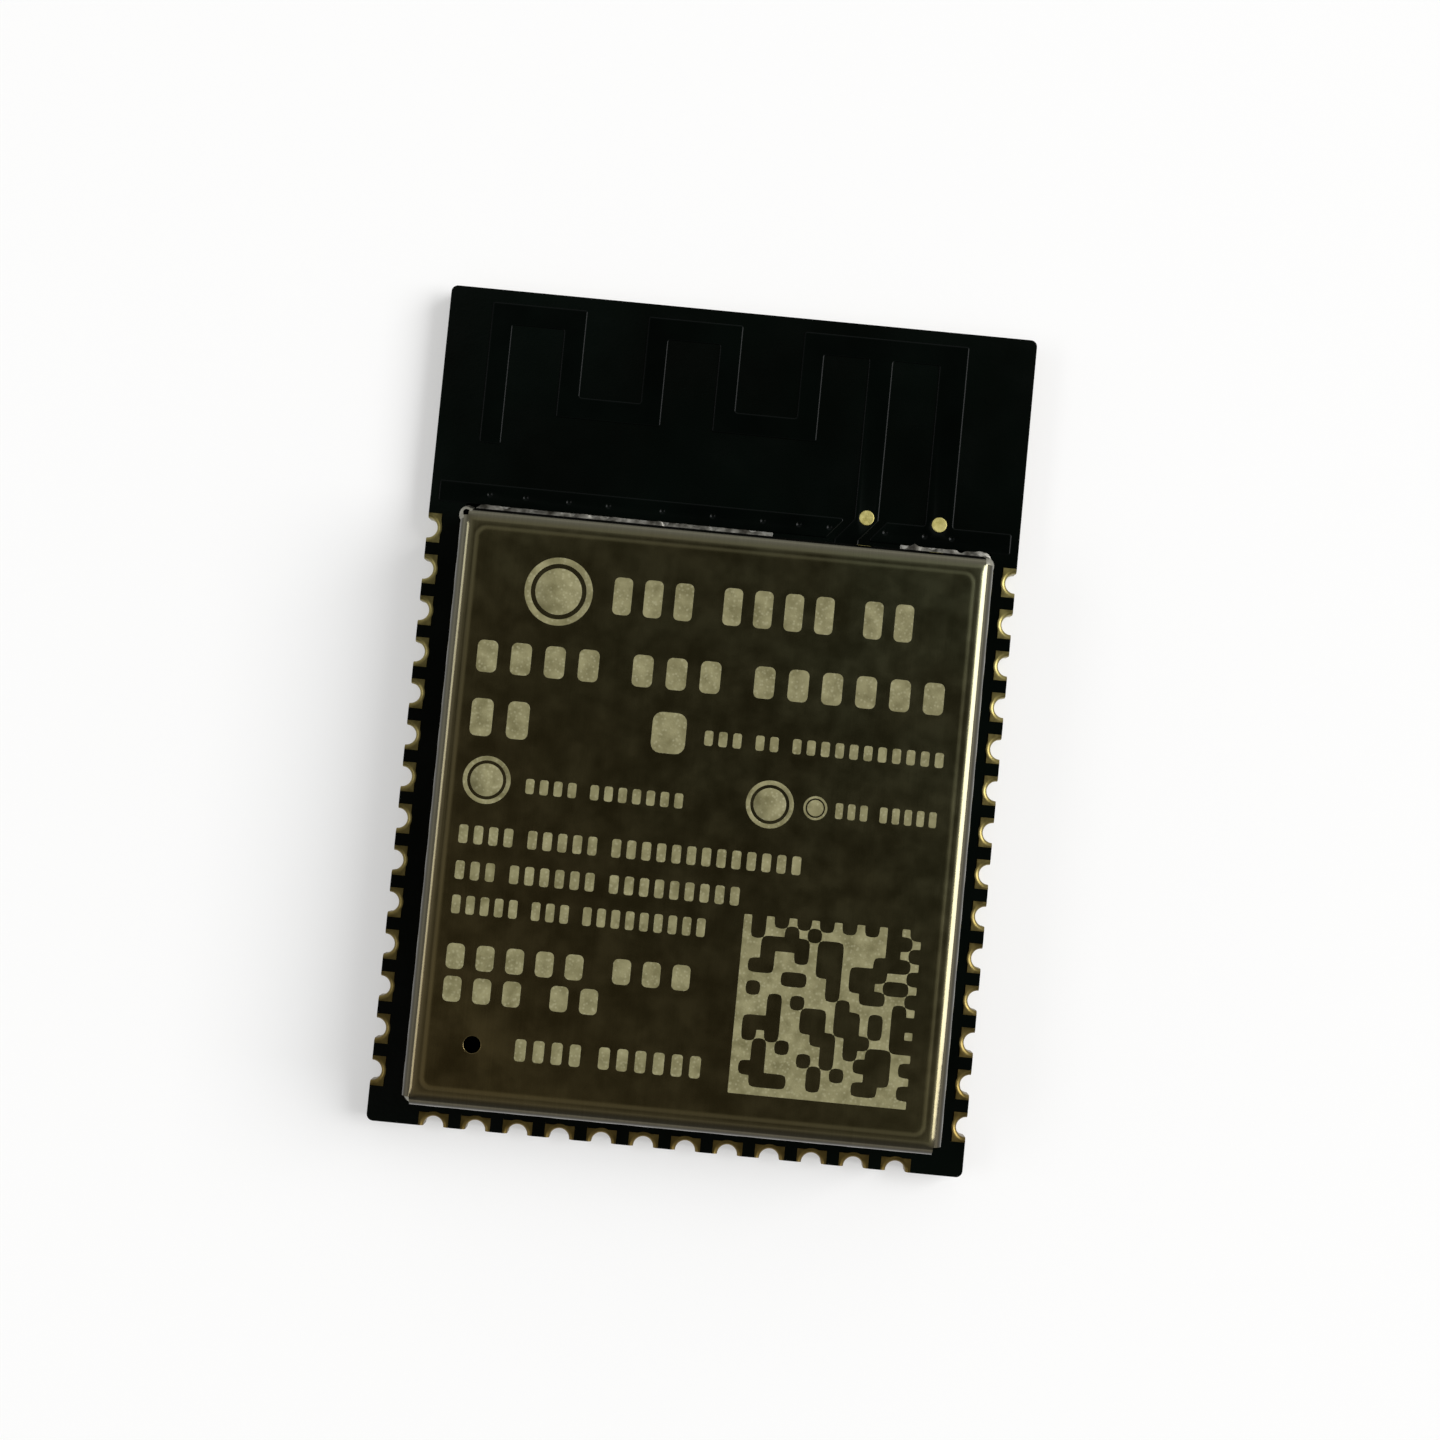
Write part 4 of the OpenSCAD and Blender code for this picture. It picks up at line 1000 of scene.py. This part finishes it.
# Floor, light and camera: a white table in a pale room that is dimmer in front, a soft lamp on the right, a
# faint one on the left, and a dark patch overhead, where the camera hides the ceiling. It looks almost
# straight down. Sizes here are in metres.
floor_reach, floor_z = 0.6, -0.00003
floor_corners = [(x * floor_reach, y * floor_reach, floor_z) for x, y in ((-1, -1), (1, -1), (1, 1), (-1, 1))]
floor_mesh = bpy.data.meshes.new("floor")
floor_mesh.from_pydata(floor_corners, [], [(0, 1, 2, 3)])
floor = bpy.data.objects.new("floor", floor_mesh)
bpy.context.scene.collection.objects.link(floor)
floor_finish, tree, shader = new_finish("white_table", specular=0.0)
shader.inputs["Base Color"].default_value = (0.97, 0.97, 0.97, 1.0)
shader.inputs["Roughness"].default_value = 0.9
rays = put(tree, "ShaderNodeLightPath").outputs
seen = sums(tree, "MAXIMUM", rays["Is Camera Ray"], rays["Is Glossy Ray"])
seen = sums(tree, "MAXIMUM", seen, rays["Is Transmission Ray"])
place = put(tree, "ShaderNodeTexCoord").outputs["Object"]
away = put(tree, "ShaderNodeVectorMath", {0: place}, operation="LENGTH").outputs["Value"]
seen = sums(tree, "MULTIPLY", seen, graded(tree, away, 0.05, 0.3, 0.4, 1.0))
white = put(tree, "ShaderNodeEmission", {"Strength": 1.0}).outputs[0]
table = put(tree, "ShaderNodeMixShader", {0: seen, 1: shader.outputs[0], 2: white}).outputs[0]
tree.links.new(table, tree.nodes["Material Output"].inputs["Surface"])
floor_finish.cycles.emission_sampling = "NONE"
floor_mesh.materials.append(floor_finish)

world = bpy.data.worlds.new("studio")
bpy.context.scene.world = world
world.use_nodes = True
tree = world.node_tree
direction = put(tree, "ShaderNodeTexCoord").outputs["Generated"]
overhead = Vector((0.06, 0.03, 1)).normalized()
height = put(tree, "ShaderNodeVectorMath", {0: direction, 1: overhead}, operation="DOT_PRODUCT")
room = put(tree, "ShaderNodeValToRGB", {0: height.outputs["Value"]})
shades = room.color_ramp.elements
shades[0].position, shades[0].color = 0.14, (1.0, 1.0, 1.0, 1.0)
shades[1].color = (0.034, 0.031, 0.02, 1.0)
for position, shade in ((0.3, (0.64, 0.64, 0.64)), (0.6, (0.46, 0.46, 0.46)),
                        (0.9, (0.46, 0.46, 0.44)), (0.965, (0.066, 0.06, 0.042))):
    shades.new(position).color = shade + (1.0,)
towards = axes(tree, direction)
front = graded(tree, towards["Y"], -0.7, -0.2, 0.3, 1.0)
side = graded(tree, towards["X"], -0.5, 0.5, 0.75, 1.3)
horizon = graded(tree, towards["Z"], 0.1, 0.2, 1.0, 0.0)
strength = sums(tree, "MAXIMUM", sums(tree, "MULTIPLY", front, side), horizon)
tree.links.new(room.outputs["Color"], tree.nodes["Background"].inputs["Color"])
tree.links.new(strength, tree.nodes["Background"].inputs["Strength"])


def soft_lamp(name, azimuth, lean, width, height, brightness, distance=3.0):
    """A flat lamp that faces the object from an angle off the vertical; brightness 1 is a white surface."""
    lamp = bpy.data.lights.new(name, "AREA")
    lamp.shape = "RECTANGLE"
    lamp.size, lamp.size_y = width, height
    lamp.energy = brightness * math.pi * width * height
    holder = bpy.data.objects.new(name, lamp)
    turn, tilt = math.radians(azimuth), math.radians(lean)
    towards = Vector((math.sin(tilt) * math.cos(turn), math.sin(tilt) * math.sin(turn), math.cos(tilt)))
    holder.matrix_world = (Matrix.Translation(towards * distance)
                           @ towards.to_track_quat("Z", "Y").to_matrix().to_4x4())
    holder.visible_camera = False
    bpy.context.scene.collection.objects.link(holder)


soft_lamp("key_lamp", azimuth=14, lean=53, width=2.2, height=1.8, brightness=7.4)
soft_lamp("side_lamp", azimuth=188, lean=51, width=2.0, height=0.73, brightness=2.4)

camera_data = bpy.data.cameras.new("camera")
camera_data.sensor_width, camera_data.lens = 36.0, 49.35
camera_data.clip_start, camera_data.clip_end = 0.002, 20.0
camera = bpy.data.objects.new("camera", camera_data)
camera.location = (0.000617, -0.002266, 0.060639)
camera.rotation_euler = (math.radians(2.421), math.radians(-0.066), math.radians(5.51))
bpy.context.scene.collection.objects.link(camera)
bpy.context.scene.camera = camera
bpy.context.scene.view_settings.view_transform = "Standard"
